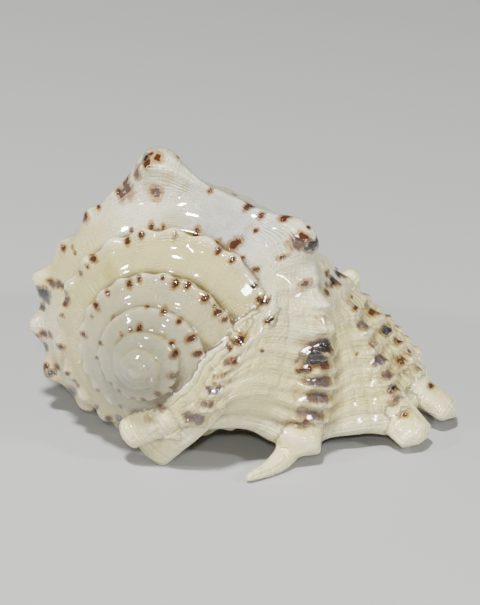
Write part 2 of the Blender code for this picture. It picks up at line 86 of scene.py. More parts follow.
# Spots as growth, column and radius in millimetres, read one by one
SPOTS: dict[Tint, tuple[Point, ...]] = {
    Tint.BROWN: (
        (-288, 2.74, 0.9), (72, 0.78, 0.6), (-279.3, 2.75, 0.9), (82.6, 0.71, 0.9), (88.7, 0.7, 0.6),
        (-262, 2.79, 0.9), (105.9, 0.56, 1.2), (118.1, 0.62, 1), (-239.3, 2.91, 1), (126, 1.31, 1.6),
        (-231.2, 2.82, 1), (131.4, 1.2, 0.7), (140.3, 1.51, 0.9), (-207.1, 2.6, 0.8), (-309.7, 2.78, 1.1),
        (-314.6, 2.55, 0.6), (-320.9, 2.82, 0.7), (39, 2.01, 0.6), (38.8, 1.64, 0.6), (-338.5, 2.77, 1.2),
        (-347.9, 2.58, 0.6), (-366.9, 2.65, 1), (-383.2, 2.83, 0.7), (-391.9, 2.86, 0.8), (-646.6, 2.6, 1),
        (-638.1, 2.65, 0.8), (-621.3, 2.85, 0.7), (-611.3, 2.81, 1.2), (-602.8, 2.82, 1),
        (-587.4, 2.8, 1.3), (-574.5, 2.74, 1.1), (-567.7, 2.78, 0.9), (-579.3, 2.95, 0.5),
        (-666.5, 2.6, 0.8), (-680.8, 2.54, 1), (-689.8, 2.35, 0.5), (-708.1, 2.55, 0.9),
        (-1031.4, 3.77, 0.9), (-989.1, 3.65, 0.7), (-970, 3.3, 1.1), (-950.8, 3.02, 0.9), (-929, 2.72, 1.2),
        (-910.2, 2.55, 1), (-1063, 2.92, 0.7), (-726.2, 0.8, 0.5), (-1027.9, 0.9, 0.6),
        (-1009.9, 0.73, 0.6), (-994.4, 0.66, 0.9), (-936.1, 0.34, 0.9), (-1279.5, 3.53, 1.2),
        (-1243.7, 2.49, 1.2), (-1199.5, 2.29, 1), (50, 2.85, 1.4), (34.3, 2.53, 1), (68.8, 2.79, 1.5),
        (86.4, 2.99, 1.6), (83.9, 3, 0.8), (78.4, 2.96, 1.5), (73.1, 2.76, 2), (84.5, 2.28, 1.7),
        (104.3, 2.96, 0.8), (129.5, 2.28, 0.7), (212.2, 0.03, 1), (214, 0.34, 1.6), (132.4, 3.01, 1.4),
        (139.4, 3.04, 0.8), (141.3, 2.78, 2.2), (145, 2.38, 0.9), (155.1, 1.33, 1.4), (156.9, 2.75, 1.3),
        (164.2, 3.8, 1.2), (170.9, 1.9, 0.9), (-551.7, 3, 1.3), (188, 2.67, 1.3), (185.6, 2.96, 1.2),
        (208.5, 2.84, 1.4), (172.2, 4.91, 0.9), (188.4, 4.32, 0.6), (206.2, 4.85, 1.4), (178.4, 6.5, 1.4),
        (191.4, 6.72, 0.8), (199.2, 6.28, 1.5), (178.7, 0.9, 1), (18.5, 2.13, 1.3), (21, 1.59, 1.3),
        (22, 1.2, 0.9), (-6.8, 2.5, 1.2), (-6.2, 1.94, 1), (-21.2, 2.81, 1), (-21.9, 2.18, 1.2),
        (-7.9, 2.82, 0.8), (-334.8, 2.82, 0.6), (-341.6, 2.75, 0.9), (57.1, 2.89, 0.7), (49.3, 2.8, 0.8),
        (71.5, 2.98, 0.9), (68, 2.96, 1), (183.7, 3.03, 0.9), (189.1, 2.6, 1), (198.6, 3.27, 0.9),
        (206.8, 2.76, 1.2), (214, 0.35, 1.5), (212.2, 4.86, 0.9), (211.4, 6.65, 1), (205.8, 2.81, 1.4),
        (205.6, 7.98, 1), (183.3, 1.94, 0.6), (171.3, 5.97, 0.7), (175.4, 6.61, 1.2), (189.1, 0.89, 0.7),
        (190.7, 1.38, 0.6), (157.9, 4.67, 1.1), (161.9, 4.19, 1), (164, 8.78, 0.9), (-190.6, 0, 1),
        (175.2, 0.3, 0.8),
    ),
    Tint.BLACK: (
        (11.6, 2.49, 1.9), (4.9, 2.73, 1), (-13.1, 2.92, 1.2), (-24.3, 2.7, 1.2), (-36.2, 2.88, 1.8),
        (-214, 2.77, 0.9), (82, 2.99, 1.2), (-50.9, 2.89, 1), (-425.9, 2.23, 1.2), (144.7, 2.97, 1.7),
        (145.3, 3.05, 1.7), (162.1, 4.61, 1.1), (161.2, 6.45, 1.2), (182.8, 2.81, 2.6), (170.7, 2.02, 0.9),
        (186.3, 6.51, 1.6), (201.8, 4.99, 1.3), (9.6, 2.17, 1), (178.9, 2.92, 1.6), (186.8, 6.49, 1.3),
        (160.2, 4.85, 1.3),
    ),
    Tint.OLIVE: (
        (89.2, 2.61, 1.5), (81.5, 2.44, 1), (95.6, 2.65, 1), (-974, 0.69, 0.7), (-951.6, 0.5, 0.6),
        (-1158.2, 0.77, 0.8), (-301.8, 1.4, 1.6), (204.6, 0.89, 0.8), (88.7, 0.7, 0.8),
        (-1311.3, 0.74, 0.4), (126.5, 2.19, 0.8), (180.2, 4.75, 0.8), (212, 4.92, 1.1), (212.2, 6.66, 1.1),
        (-20, 2.23, 1.2), (51.5, 2.93, 0.6), (82.2, 2.29, 1.5), (214, 0.25, 1.6), (212, 4.93, 1.2),
        (212, 6.75, 1.1),
    ),
}


# How much smaller each tint is drawn than it was read
SPOT_SCALE: dict[Tint, float] = {Tint.BROWN: 0.80, Tint.BLACK: 0.85, Tint.OLIVE: 0.75}
# A seed for each tint, and the share of the strewn places that it takes
STREWN: dict[Tint, tuple[int, float]] = {
    Tint.BROWN: (11, 0.30), Tint.BLACK: (23, 0.05), Tint.OLIVE: (37, 0.14),
}


def spline(knots: Array, values: Array, at: Array) -> Array:
    """Reads a natural cubic spline.

    Args:
        knots: Places of the values, rising.
        values: One row of numbers a knot.
        at: Places to read, of any shape.

    Returns:
        The rows read, with the shape of at and one more axis.
    """
    knots = np.asarray(knots, float)
    values = np.asarray(values, float)
    gaps = np.diff(knots)
    count = len(knots)
    matrix = np.eye(count)
    right = np.zeros_like(values)
    for i in range(1, count - 1):
        matrix[i, i - 1 : i + 2] = (gaps[i - 1], 2 * (gaps[i - 1] + gaps[i]), gaps[i])
        right[i] = 6 * ((values[i + 1] - values[i]) / gaps[i] - (values[i] - values[i - 1]) / gaps[i - 1])
    bends = np.linalg.solve(matrix, right)
    at = np.clip(np.asarray(at, float), knots[0], knots[-1])
    cell = np.clip(np.searchsorted(knots, at, side="right") - 1, 0, count - 2)
    gap = gaps[cell][..., None]
    after = ((at - knots[cell])[..., None]) / gap
    before = 1 - after
    curve = (before**3 - before) * bends[cell] + (after**3 - after) * bends[cell + 1]
    return before * values[cell] + after * values[cell + 1] + curve * gap**2 / 6


def ease(low: float, high: float, x: Array) -> Array:
    """Rises smoothly from 0 at low to 1 at high."""
    t = np.clip((x - low) / (high - low), 0.0, 1.0)
    return t * t * (3 - 2 * t)


def hump(x: Array, centre: float, half_width: float | Array) -> Array:
    """A smooth bump of height 1."""
    return np.exp(-(((x - centre) / half_width) ** 2))


def unit(vectors: Array) -> Array:
    """The same directions, each of length 1."""
    return vectors / np.linalg.norm(vectors, axis=-1, keepdims=True)


def normals_of(points: Array) -> Array:
    """Unit normals of a net of points, rows of growth by columns."""
    normal = np.cross(np.gradient(points, axis=0), np.gradient(points, axis=1))
    return normal / np.maximum(np.linalg.norm(normal, axis=-1, keepdims=True), 1e-9)


def read(rows: bpy.types.bpy_prop_collection, name: str, width: int = 1, kind: type = np.float32) -> Array:
    """Reads one property of every row of a mesh's list.

    Args:
        rows: The list, such as the vertices.
        name: The property.
        width: How many numbers it holds.
        kind: What the numbers are.

    Returns:
        The numbers, one row each where there are several.
    """
    flat = np.empty(len(rows) * width, kind)
    rows.foreach_get(name, flat)
    return flat.reshape(-1, width) if width > 1 else flat


def blank_net() -> bmesh.types.BMesh:
    """An empty mesh in the making, with a float layer for each of VALUES.

    Returns:
        The mesh in the making.
    """
    bm = bmesh.new()
    for name in VALUES:
        bm.verts.layers.float.new(name)
    return bm


def mesh_from(bm: bmesh.types.BMesh, name: str) -> bpy.types.Mesh:
    """Turns a mesh in the making into a mesh, and frees it.

    Args:
        bm: The mesh in the making.
        name: The mesh's name.

    Returns:
        The mesh.
    """
    mesh = bpy.data.meshes.new(name)
    bm.to_mesh(mesh)
    bm.free()
    return mesh


def put_in_scene(name: str, data: bpy.types.ID) -> Object:
    """Makes an object of a mesh, a light or a camera and puts it in the scene.

    Args:
        name: The object's name.
        data: What it shows.

    Returns:
        The object.
    """
    made = bpy.data.objects.new(name, data)
    bpy.context.scene.collection.objects.link(made)
    return made


@dataclass(frozen=True)
class GrowthSpiral:
    """The regular whorls: a profile turned round the axis while it grows."""

    radius_at_left: float = 21.4
    per_turn: float = 1.314
    slowing: float = -0.031
    slope: float = 0.844
    power: float = 1.546
    unit: float = 20.0
    dome_rise: float = 3.0
    dome_radius: float = 3.6
    bend_from: float = 38.0
    bend_span: float = 46.0
    bend_power: float = 1.7
    bend_drop: float = 12.0
    bend_side: float = -5.0
    suture_drop: float = 0.085
    early_drop: float = 0.13
    early_until: tuple[float, float] = (-1250.0, -450.0)
    suture_tuck: float = 0.93
    ramp_swell: float = 0.03
    under_flat: float = 0.115
    under_from: tuple[float, float] = (-170.0, -120.0)
    under_to: tuple[float, float] = (-62.0, -22.0)
    ramp: tuple[float, ...] = (0.0, 0.3, 0.65, 1.0)
    below: tuple[tuple[float, float], ...] = (
        (1.000, 0.00), (0.975, 0.14), (0.925, 0.31), (0.850, 0.49), (0.765, 0.67), (0.675, 0.86),
        (0.585, 1.05), (0.470, 1.30), (0.360, 1.56), (0.265, 1.84), (0.180, 2.18), (0.120, 2.60),
    )

    @property
    def shoulder(self) -> int:
        """The column of the shoulder."""
        return len(self.ramp) - 1

    @property
    def last_column(self) -> int:
        """The column at the canal's end of the profile."""
        return self.shoulder + len(self.below) - 1

    def radius(self, growth: Array) -> Array:
        """Radius of the shoulder at a growth angle."""
        turns = growth / 360.0
        return self.radius_at_left * self.per_turn**turns * np.exp(self.slowing * turns**2)

    def height(self, growth: Array) -> Array:
        """Distance of the shoulder from the apex along the axis.

        Args:
            growth: Growth angles.

        Returns:
            The distances.
        """
        radius = self.radius(growth)
        dome = self.dome_rise * hump(radius, 0.0, self.dome_radius)
        return self.slope * self.unit * (radius / self.unit) ** self.power - dome

    def round_axis(self, radius: Array, height: Array, growth: Array) -> Array:
        """Turns radii and heights round the axis, which bends towards the canal.

        Args:
            radius: Distances from the axis.
            height: Distances along it.
            growth: Growth angles.

        Returns:
            Points in the growth frame.
        """
        angle = np.radians(growth)
        height = height + 0 * angle
        onward = np.clip((height - self.bend_from) / self.bend_span, 0.0, None) ** self.bend_power
        x = -radius * np.cos(angle) + self.bend_side * onward
        z = radius * np.sin(angle) - self.bend_drop * onward
        return np.stack([x, height, z], axis=-1)

    def points(self, growth: Array, column: Array) -> Array:
        """Points of the plain whorl.

        Args:
            growth: Growth angles.
            column: Places on the profile.

        Returns:
            Points in the growth frame.
        """
        radius, height = self.radius(growth), self.height(growth)
        inner = self.radius(growth - 360.0)
        drop = self.suture_drop + self.early_drop * (1 - ease(*self.early_until, growth))
        suture = self.height(growth - 360.0) + drop * inner
        ramp = np.array(self.ramp)[:, None]
        share = spline(np.arange(len(self.ramp)), ramp, np.minimum(column, self.shoulder))[..., 0]
        swell = self.ramp_swell * radius * np.sin(math.pi * share) ** 2
        tucked = self.suture_tuck * inner
        ramp_radius = tucked + (radius - tucked) * share + 0.5 * swell
        ramp_height = suture + (height - suture) * share - swell
        knots = np.arange(self.shoulder, self.last_column + 1)
        low = spline(knots, np.array(self.below), np.maximum(column, self.shoulder))
        on_ramp = column <= self.shoulder
        flat = self.under_flat * ease(*self.under_from, growth) * (1 - ease(*self.under_to, growth))
        reach = np.where(on_ramp, ramp_radius, radius * low[..., 0]) * (1 - flat)
        return self.round_axis(reach, np.where(on_ramp, ramp_height, height + radius * low[..., 1]), growth)


@dataclass(frozen=True)
class LipEdge:
    """One column's end at the lip: its place, the direction of growth there and how strongly that holds."""

    place: Point
    way: Point
    hold: float


@dataclass(frozen=True)
class Flare:
    """The last whorl: regular at first, then led out to the lip's edge and draped over the spire."""

    spiral: GrowthSpiral
    start: float = 110.0
    span: float = 104.0
    climb_columns: float = 3.0
    drape: float = 3.2
    drape_column: float = 1.5
    drape_width: float = 1.35
    drape_way: Point = (0.35, -0.93, 0.1)
    edge: tuple[LipEdge, ...] = (
        LipEdge((1.6, 4.4, -8.0), (-0.90, 0.10, -0.45), 28.0),
        LipEdge((3.2, 6.6, -13.2), (-0.75, -0.20, -0.60), 36.0),
        LipEdge((12.3, 10.3, -11.2), (-0.35, -0.35, -0.87), 38.0),
        LipEdge((20.7, 20.0, -16.0), (-0.40, -0.25, -0.88), 42.0),
        LipEdge((28.6, 26.5, -16.1), (0.10, -0.20, -0.97), 44.0),
        LipEdge((34.6, 33.0, -17.0), (0.40, -0.10, -0.90), 45.0),
        LipEdge((35.6, 39.0, -15.4), (0.50, 0.00, -0.86), 45.0),
        LipEdge((37.5, 43.5, -16.0), (0.55, 0.08, -0.82), 44.0),
        LipEdge((35.0, 48.3, -13.6), (0.58, 0.10, -0.80), 43.0),
        LipEdge((33.6, 52.5, -13.6), (0.60, 0.20, -0.77), 40.0),
        LipEdge((27.8, 57.6, -11.0), (0.64, 0.30, -0.71), 33.0),
        LipEdge((19.5, 62.0, -4.8), (0.60, 0.45, -0.66), 24.0),
        LipEdge((13.5, 65.5, -5.0), (0.30, 0.20, -0.93), 18.0),
        LipEdge((8.5, 71.0, -9.0), (0.00, 0.20, -0.98), 13.0),
        LipEdge((3.5, 78.0, -12.5), (-0.20, 0.40, -0.90), 9.0),
    )
    climb: tuple[tuple[float, Point], ...] = (
        (0.46, (15.2, 12.6, 6.3)), (0.55, (12.4, 10.2, 4.8)), (0.63, (11.2, 7.5, 2.7)),
        (0.71, (9.3, 5.6, 1.3)), (0.78, (8.2, 4.6, -0.6)), (0.86, (7.1, 4.1, -2.8)),
        (0.93, (4.9, 3.7, -5.0)), (1.00, (1.6, 4.4, -8.0)),
    )

    @property
    def lip(self) -> float:
        """The growth angle of the lip's edge."""
        return self.start + self.span

    def climbed(self, share: Array, column: Array, edge: Array) -> Array:
        """How far the upper columns move, so that their edge follows the suture up the spire.

        Args:
            share: Share of the flare, 0 at its start and 1 at the lip.
            column: Places on the profile.
            edge: Where column 0 runs without the climb.

        Returns:
            One move a point.
        """
        knots = np.array([knot for knot, _ in self.climb])
        places = np.array([place for _, place in self.climb])
        move = spline(knots, places, share[:, :1]) - edge
        move = move * ease(0.1, knots[0] + 0.04, share[:, :1])[..., None]
        move = move * (1 - ease(0.0, self.climb_columns, column))[..., None]
        over = ease(0.30, 0.60, share) * (1 - ease(0.85, 1.0, share))
        drape = self.drape * hump(column, self.drape_column, self.drape_width) * over
        return move + drape[..., None] * np.array(self.drape_way)

    def led_out(self, share: Array, column: Array) -> Array:
        """Leads each column on a smooth curve from the regular whorl to its end at the lip.

        Args:
            share: Share of the flare.
            column: Places on the profile.

        Returns:
            Points in the growth frame.
        """
        step = 0.5
        start = self.spiral.points(np.full_like(column, self.start), column)
        before = self.spiral.points(np.full_like(column, self.start - step), column)
        start_way = (start - before) / step * self.span
        knots = np.arange(self.spiral.last_column + 1)
        end = spline(knots, np.array([at.place for at in self.edge]), column)
        ways = np.array([np.array(at.way) / np.linalg.norm(at.way) * at.hold for at in self.edge])
        share = share[..., None]
        return (
            (2 * share**3 - 3 * share**2 + 1) * start
            + (share**3 - 2 * share**2 + share) * start_way
            + (3 * share**2 - 2 * share**3) * end
            + (share**3 - share**2) * spline(knots, ways, column)
        )

    def points(self, growth: Array, column: Array) -> Array:
        """Points of the last whorl's plain surface.

        Args:
            growth: Growth angles.
            column: Places on the profile.

        Returns:
            Points in the growth frame.
        """
        share = np.clip((growth - self.start) / self.span, 0.0, 1.0)
        upper_edge = self.led_out(share[:, :1], np.zeros_like(column[:, :1]))
        led = self.led_out(share, column)
        led = led + self.climbed(share, column, upper_edge)
        return np.where((growth > self.start)[..., None], led, self.spiral.points(growth, column))


@dataclass(frozen=True)
class Knob:
    """A knob of the shoulder: its growth angle, height, and half width along growth in degrees."""

    growth: float
    tall: float
    half: float


@dataclass(frozen=True)
class Cord:
    """A spiral cord: its column, its heights on the body and at the lip, and its half width in columns."""

    column: float
    on_body: float
    at_lip: float
    half: float


@dataclass(frozen=True)
class Bar:
    """The bars across one cord: its column, their half width, and their strength on each growth ledge."""

    column: float
    half: float
    strengths: tuple[float, ...]


BARS: tuple[Bar, ...] = (
    Bar(0.85, 0.48, (0, 0, 0, 0, 0.3, 0.8, 0.9, 0.6, 1.0, 0.8, 0.9, 0.3)),
    Bar(2.92, 0.36, (0, 0, 0, 0, 0.15, 0.4, 1.25, 0.7, 1.0, 0.9, 0.75, 0.2)),
    Bar(4.92, 0.38, (0, 0, 0, 0.3, 0.7, 0.5, 0.9, 0.6, 1.1, 0.8, 0.6, 0.2)),
    Bar(6.75, 0.42, (0, 0, 0, 0.3, 0.9, 0.3, 0.8, 0.4, 0.9, 0.5, 0.6, 0.2)),
    Bar(9.0, 0.50, (0, 0, 0, 0.2, 0.5, 0.4, 0.6, 0.3, 0.7, 0.5, 0.4, 0.2)),
)


@dataclass(frozen=True)
class Relief:
    """Everything that stands above the plain whorls: knobs, nodules, cords and the ledges of old lips."""

    spiral: GrowthSpiral
    flare: Flare
    knob_columns: float = 0.55
    knob_sides: tuple[float, float] = (0.75, 1.5)
    tall_knob: float = 3.0
    tall_spread: float = 1.5
    nodule_step: float = 17.0
    nodule_height: tuple[float, float] = (0.030, 0.062)
    nodule_growth: tuple[float, float] = (-1000.0, -380.0)
    covered: tuple[float, float, float, float] = (-234.0, -216.0, -160.0, -146.0)
    keel_height: float = 0.015
    ledge_height: float = 0.50
    ledge_lead: float = 3.5
    bead_step: float = 9.0
    cord_rise: tuple[float, float] = (124.0, 205.0)
    cord_low: float = 0.42
    cord_more: float = 0.70
    knobs: tuple[Knob, ...] = (
        Knob(-88.0, 0.8, 6.0), Knob(-66.0, 1.0, 6.0), Knob(-45.0, 1.1, 6.0), Knob(-24.0, 1.8, 5.0),
        Knob(-4.0, 2.0, 4.8), Knob(16.0, 2.0, 4.8), Knob(34.0, 1.1, 4.8), Knob(42.0, -1.4, 13.0),
        Knob(51.0, 1.2, 4.8), Knob(66.0, 0.5, 4.5), Knob(84.5, 6.0, 11.5), Knob(141.0, 4.9, 11.5),
        Knob(168.0, 1.4, 8.0),
    )
    cords: tuple[Cord, ...] = (
        Cord(1.0, 0.0, 2.1, 0.44), Cord(2.0, 0.0, 0.35, 0.30), Cord(3.0, 0.35, 3.7, 0.38),
        Cord(4.0, 0.30, 0.45, 0.28), Cord(5.0, 0.50, 2.5, 0.42), Cord(6.0, 0.30, 0.45, 0.28),
        Cord(6.8, 0.55, 2.4, 0.44), Cord(8.0, 0.30, 0.45, 0.28), Cord(9.0, 0.50, 2.2, 0.45),
        Cord(10.1, 0.40, 1.2, 0.35), Cord(11.0, 0.35, 1.2, 0.35), Cord(12.0, 0.25, 0.50, 0.30),
    )
    nodules_fade: tuple[float, float] = (-1500.0, -1200.0)
    nodules_until: tuple[float, float] = (-130.0, -100.0)
    body_cords: tuple[float, float] = (-200.0, 0.0)
    ledges: tuple[float, ...] = (
        110.0, 126.0, 139.0, 150.0, 159.5, 168.5, 177.5, 185.5, 191.5, 197.5, 203.5, 209.5, 216.0,
    )

    def cells(self, growth: Array) -> tuple[Array, Array]:
        """Finds the growth ledge that each point is on.

        Args:
            growth: Growth angles.

        Returns:
            The ledges, and how far along them each point is.
        """
        stops = np.array(self.ledges)
        cell = np.clip(np.searchsorted(stops, growth, side="right") - 1, 0, len(stops) - 2)
        return cell, (growth - stops[cell]) / (stops[cell + 1] - stops[cell])

    def to_lip(self, growth: Array) -> Array:
        """Rises from 0 at the flare's start to 1 just before the lip."""
        return ease(self.flare.start - 10.0, self.flare.lip - 10.0, growth)

    def led(self, growth: Array, column: Array) -> Array:
        """The growth that the ledges follow: they bow backwards over the cords.

        Args:
            growth: Growth angles.
            column: Places on the profile.

        Returns:
            Growth angles.
        """
        crests = sum(
            hump(column, cord.column, cord.half) * min(cord.at_lip, 2.0) / 2.0 for cord in self.cords
        )
        return growth + self.ledge_lead * crests * self.to_lip(growth)

    def plate(self, growth: Array, column: Array) -> Array:
        """Rises on each ledge from 0 to 1, and drops at the next old lip."""
        t = np.clip(self.cells(self.led(growth, column))[1], 0.0, 1.0)
        return t**2 * (1 - ease(0.9, 1.0, t))

    def bars(self, growth: Array, column: Array) -> Array:
        """Strength of the pigment bars, one to a ledge across each cord.

        Args:
            growth: Growth angles.
            column: Places on the profile.

        Returns:
            The strengths, 0 beside the bars.
        """
        cell, t = self.cells(self.led(growth, column))
        window = ease(0.0, 0.40, t) * (1 - ease(0.55, 0.94, t)) * (growth > self.ledges[0])
        shown = np.zeros_like(growth)
        for bar in BARS:
            across = np.clip(1 - ((column - bar.column) / bar.half) ** 2, 0.0, 1.0)
            shown = np.maximum(shown, across * np.array(bar.strengths)[cell])
        return shown * window

    def heights(self, growth: Array, column: Array) -> Array:
        """Height of the relief over a net.

        Args:
            growth: Growth angles.
            column: Places on the profile.

        Returns:
            Heights in millimetres.
        """
        shoulder = self.spiral.shoulder
        height = np.zeros_like(growth)
        for knob in self.knobs:
            side = self.knob_columns * (self.tall_spread if knob.tall > self.tall_knob else 1.0)
            above, below = self.knob_sides
            side = np.where(column < shoulder, side * above, side * below)
            height += knob.tall * hump(growth, knob.growth, knob.half) * hump(column, shoulder, side)
        early = 1 - ease(*self.nodules_until, growth)
        nodules = 0.5 - 0.5 * np.cos(2 * math.pi * growth / self.nodule_step)
        low, high = self.nodule_height
        tall = (low + (high - low) * ease(*self.nodule_growth, growth)) * ease(*self.nodules_fade, growth)
        bare = 1 - ease(*self.covered[:2], growth) * (1 - ease(*self.covered[2:], growth))
        keel = (self.keel_height + tall * nodules) * bare
        height += early * self.spiral.radius(growth) * keel * hump(column, shoulder, 0.5)
        ledge = self.plate(growth, column)
        beads = 0.75 + 0.25 * np.cos(2 * math.pi * growth / self.bead_step)
        risen = ease(*self.cord_rise, growth)
        for cord in self.cords:
            on_body = cord.on_body * beads * ease(*self.body_cords, growth) * (1 - risen)
            at_lip = cord.at_lip * (self.cord_low + self.cord_more * ledge) * risen
            height += (on_body + at_lip) * hump(column, cord.column, cord.half)
        return height + self.ledge_height * self.to_lip(growth) * ledge


@dataclass(frozen=True)
class Digit:
    """A digit of the lip: a folded horn that grows on from a cord, its back towards outward."""

    name: str
    column: float
    root: float
    onward: tuple[Point, ...]
    sizes: tuple[tuple[float, float], ...]
    outward: Point
    sink: float = 1.4
    gutter: float = 0.42
    sides: int = 28
    rings: int = 28


@dataclass(frozen=True)
class Canal:
    """The siphonal canal: a bent horn that is open along its lower side."""

    path: tuple[Point, ...] = (
        (0.0, 38.0, 0.0), (0.5, 50.0, -2.0), (1.6, 60.0, -5.0), (1.2, 69.0, -8.6), (-1.4, 77.5, -12.2),
        (-5.6, 85.0, -14.6),
    )
    sizes: tuple[tuple[float, float], ...] = (
        (3.0, 3.0), (6.0, 5.6), (6.2, 5.4), (5.4, 4.6), (4.2, 3.8), (2.6, 2.4),
    )
    gutter: float = 1.0
    column: float = 12.0
    outward: Point = (0.0, 0.0, 1.0)
    sides: int = 40
    rings: int = 60


HIND_SIDE = (0.10, -0.95, 0.30)
SLEEVE_SIDE = (0.55, -0.70, 0.30)
CORNER_SIDE = (0.70, -0.50, 0.40)
OUTER_SIDE = (0.80, 0.05, 0.55)
FORE_SIDE = (0.70, 0.40, 0.55)
DIGITS: tuple[Digit, ...] = (
    Digit("hind_upper", 0.45, 16.0, ((0.6, 5.4, -10.8), (-3.3, 5.6, -13.4)),
          ((2.6, 1.6), (2.9, 1.8), (2.5, 1.4)), HIND_SIDE),
    Digit("hind_lower", 1.2, 18.0, ((3.0, 7.4, -12.6), (-0.6, 9.7, -17.0)),
          ((3.0, 1.8), (3.9, 2.1), (3.6, 1.7)), HIND_SIDE),
    Digit("hind_sleeve", 3.0, 24.0, ((21.0, 17.2, -17.0),),
          ((3.2, 2.0), (3.8, 2.6), (4.3, 2.7)), SLEEVE_SIDE),
    Digit("hind_spike", 3.0, 10.0, ((19.4, 15.8, -18.4), (15.2, 8.0, -19.5)),
          ((2.6, 1.9), (2.4, 1.7), (0.7, 0.6)), SLEEVE_SIDE),
    Digit("corner", 5.0, 20.0, ((37.9, 31.2, -19.2),),
          ((3.0, 2.0), (3.9, 2.4), (3.6, 2.0)), CORNER_SIDE),
    Digit("side", 6.8, 18.0, ((40.9, 42.4, -18.6),),
          ((2.8, 2.0), (3.8, 2.6), (3.6, 2.3)), OUTER_SIDE),
    Digit("side_knobbed", 9.0, 14.0, ((35.0, 53.6, -17.4),),
          ((2.2, 1.6), (3.0, 2.0), (2.3, 1.6)), FORE_SIDE),
    Digit("fore", 10.1, 12.0, ((28.6, 59.4, -15.6),),
          ((2.0, 1.4), (2.6, 1.8), (2.0, 1.4)), FORE_SIDE),
    Digit("notch_lobe", 11.0, 8.0, ((20.5, 63.3, -3.2),),
          ((2.2, 1.8), (2.5, 2.2), (2.0, 1.9)), FORE_SIDE),
    Digit("notch_fold", 11.2, 8.0, ((20.9, 62.8, -6.3),),
          ((2.2, 1.8), (2.5, 2.2), (2.0, 1.9)), FORE_SIDE),
)


@dataclass
class Net:
    """A closed net of points, with each of VALUES for every point."""

    points: Array
    growth: Array
    column: Array
    inside: Array

    def add_to(self, bm: bmesh.types.BMesh) -> None:
        """Lays a grid over the net in bm, carries its values, and closes its ends.

        Args:
            bm: The mesh that takes the net, with a float layer for each of VALUES.
        """
        rows, columns = self.points.shape[:2]
        keys = [bm.verts.layers.float[name] for name in VALUES]
        made = bmesh.ops.create_grid(bm, x_segments=rows - 1, y_segments=columns - 1, size=1.0)["verts"]
        for vert in made:
            row = round((vert.co.x + 1) / 2 * (rows - 1))
            column = round((vert.co.y + 1) / 2 * (columns - 1))
            vert.co = Vector(self.points[row, column])
            for key, values in zip(keys, (self.growth, self.column, self.inside)):
                vert[key] = float(values[row, column])
        bmesh.ops.remove_doubles(bm, verts=made, dist=1e-4)
        kept = [vert for vert in made if vert.is_valid]
        rims = [edge for edge in {edge for vert in kept for edge in vert.link_edges} if edge.is_boundary]
        if rims:
            bmesh.ops.holes_fill(bm, edges=rims)
        faces = {face for vert in kept for face in vert.link_faces}
        bmesh.ops.recalc_face_normals(bm, faces=list(faces))


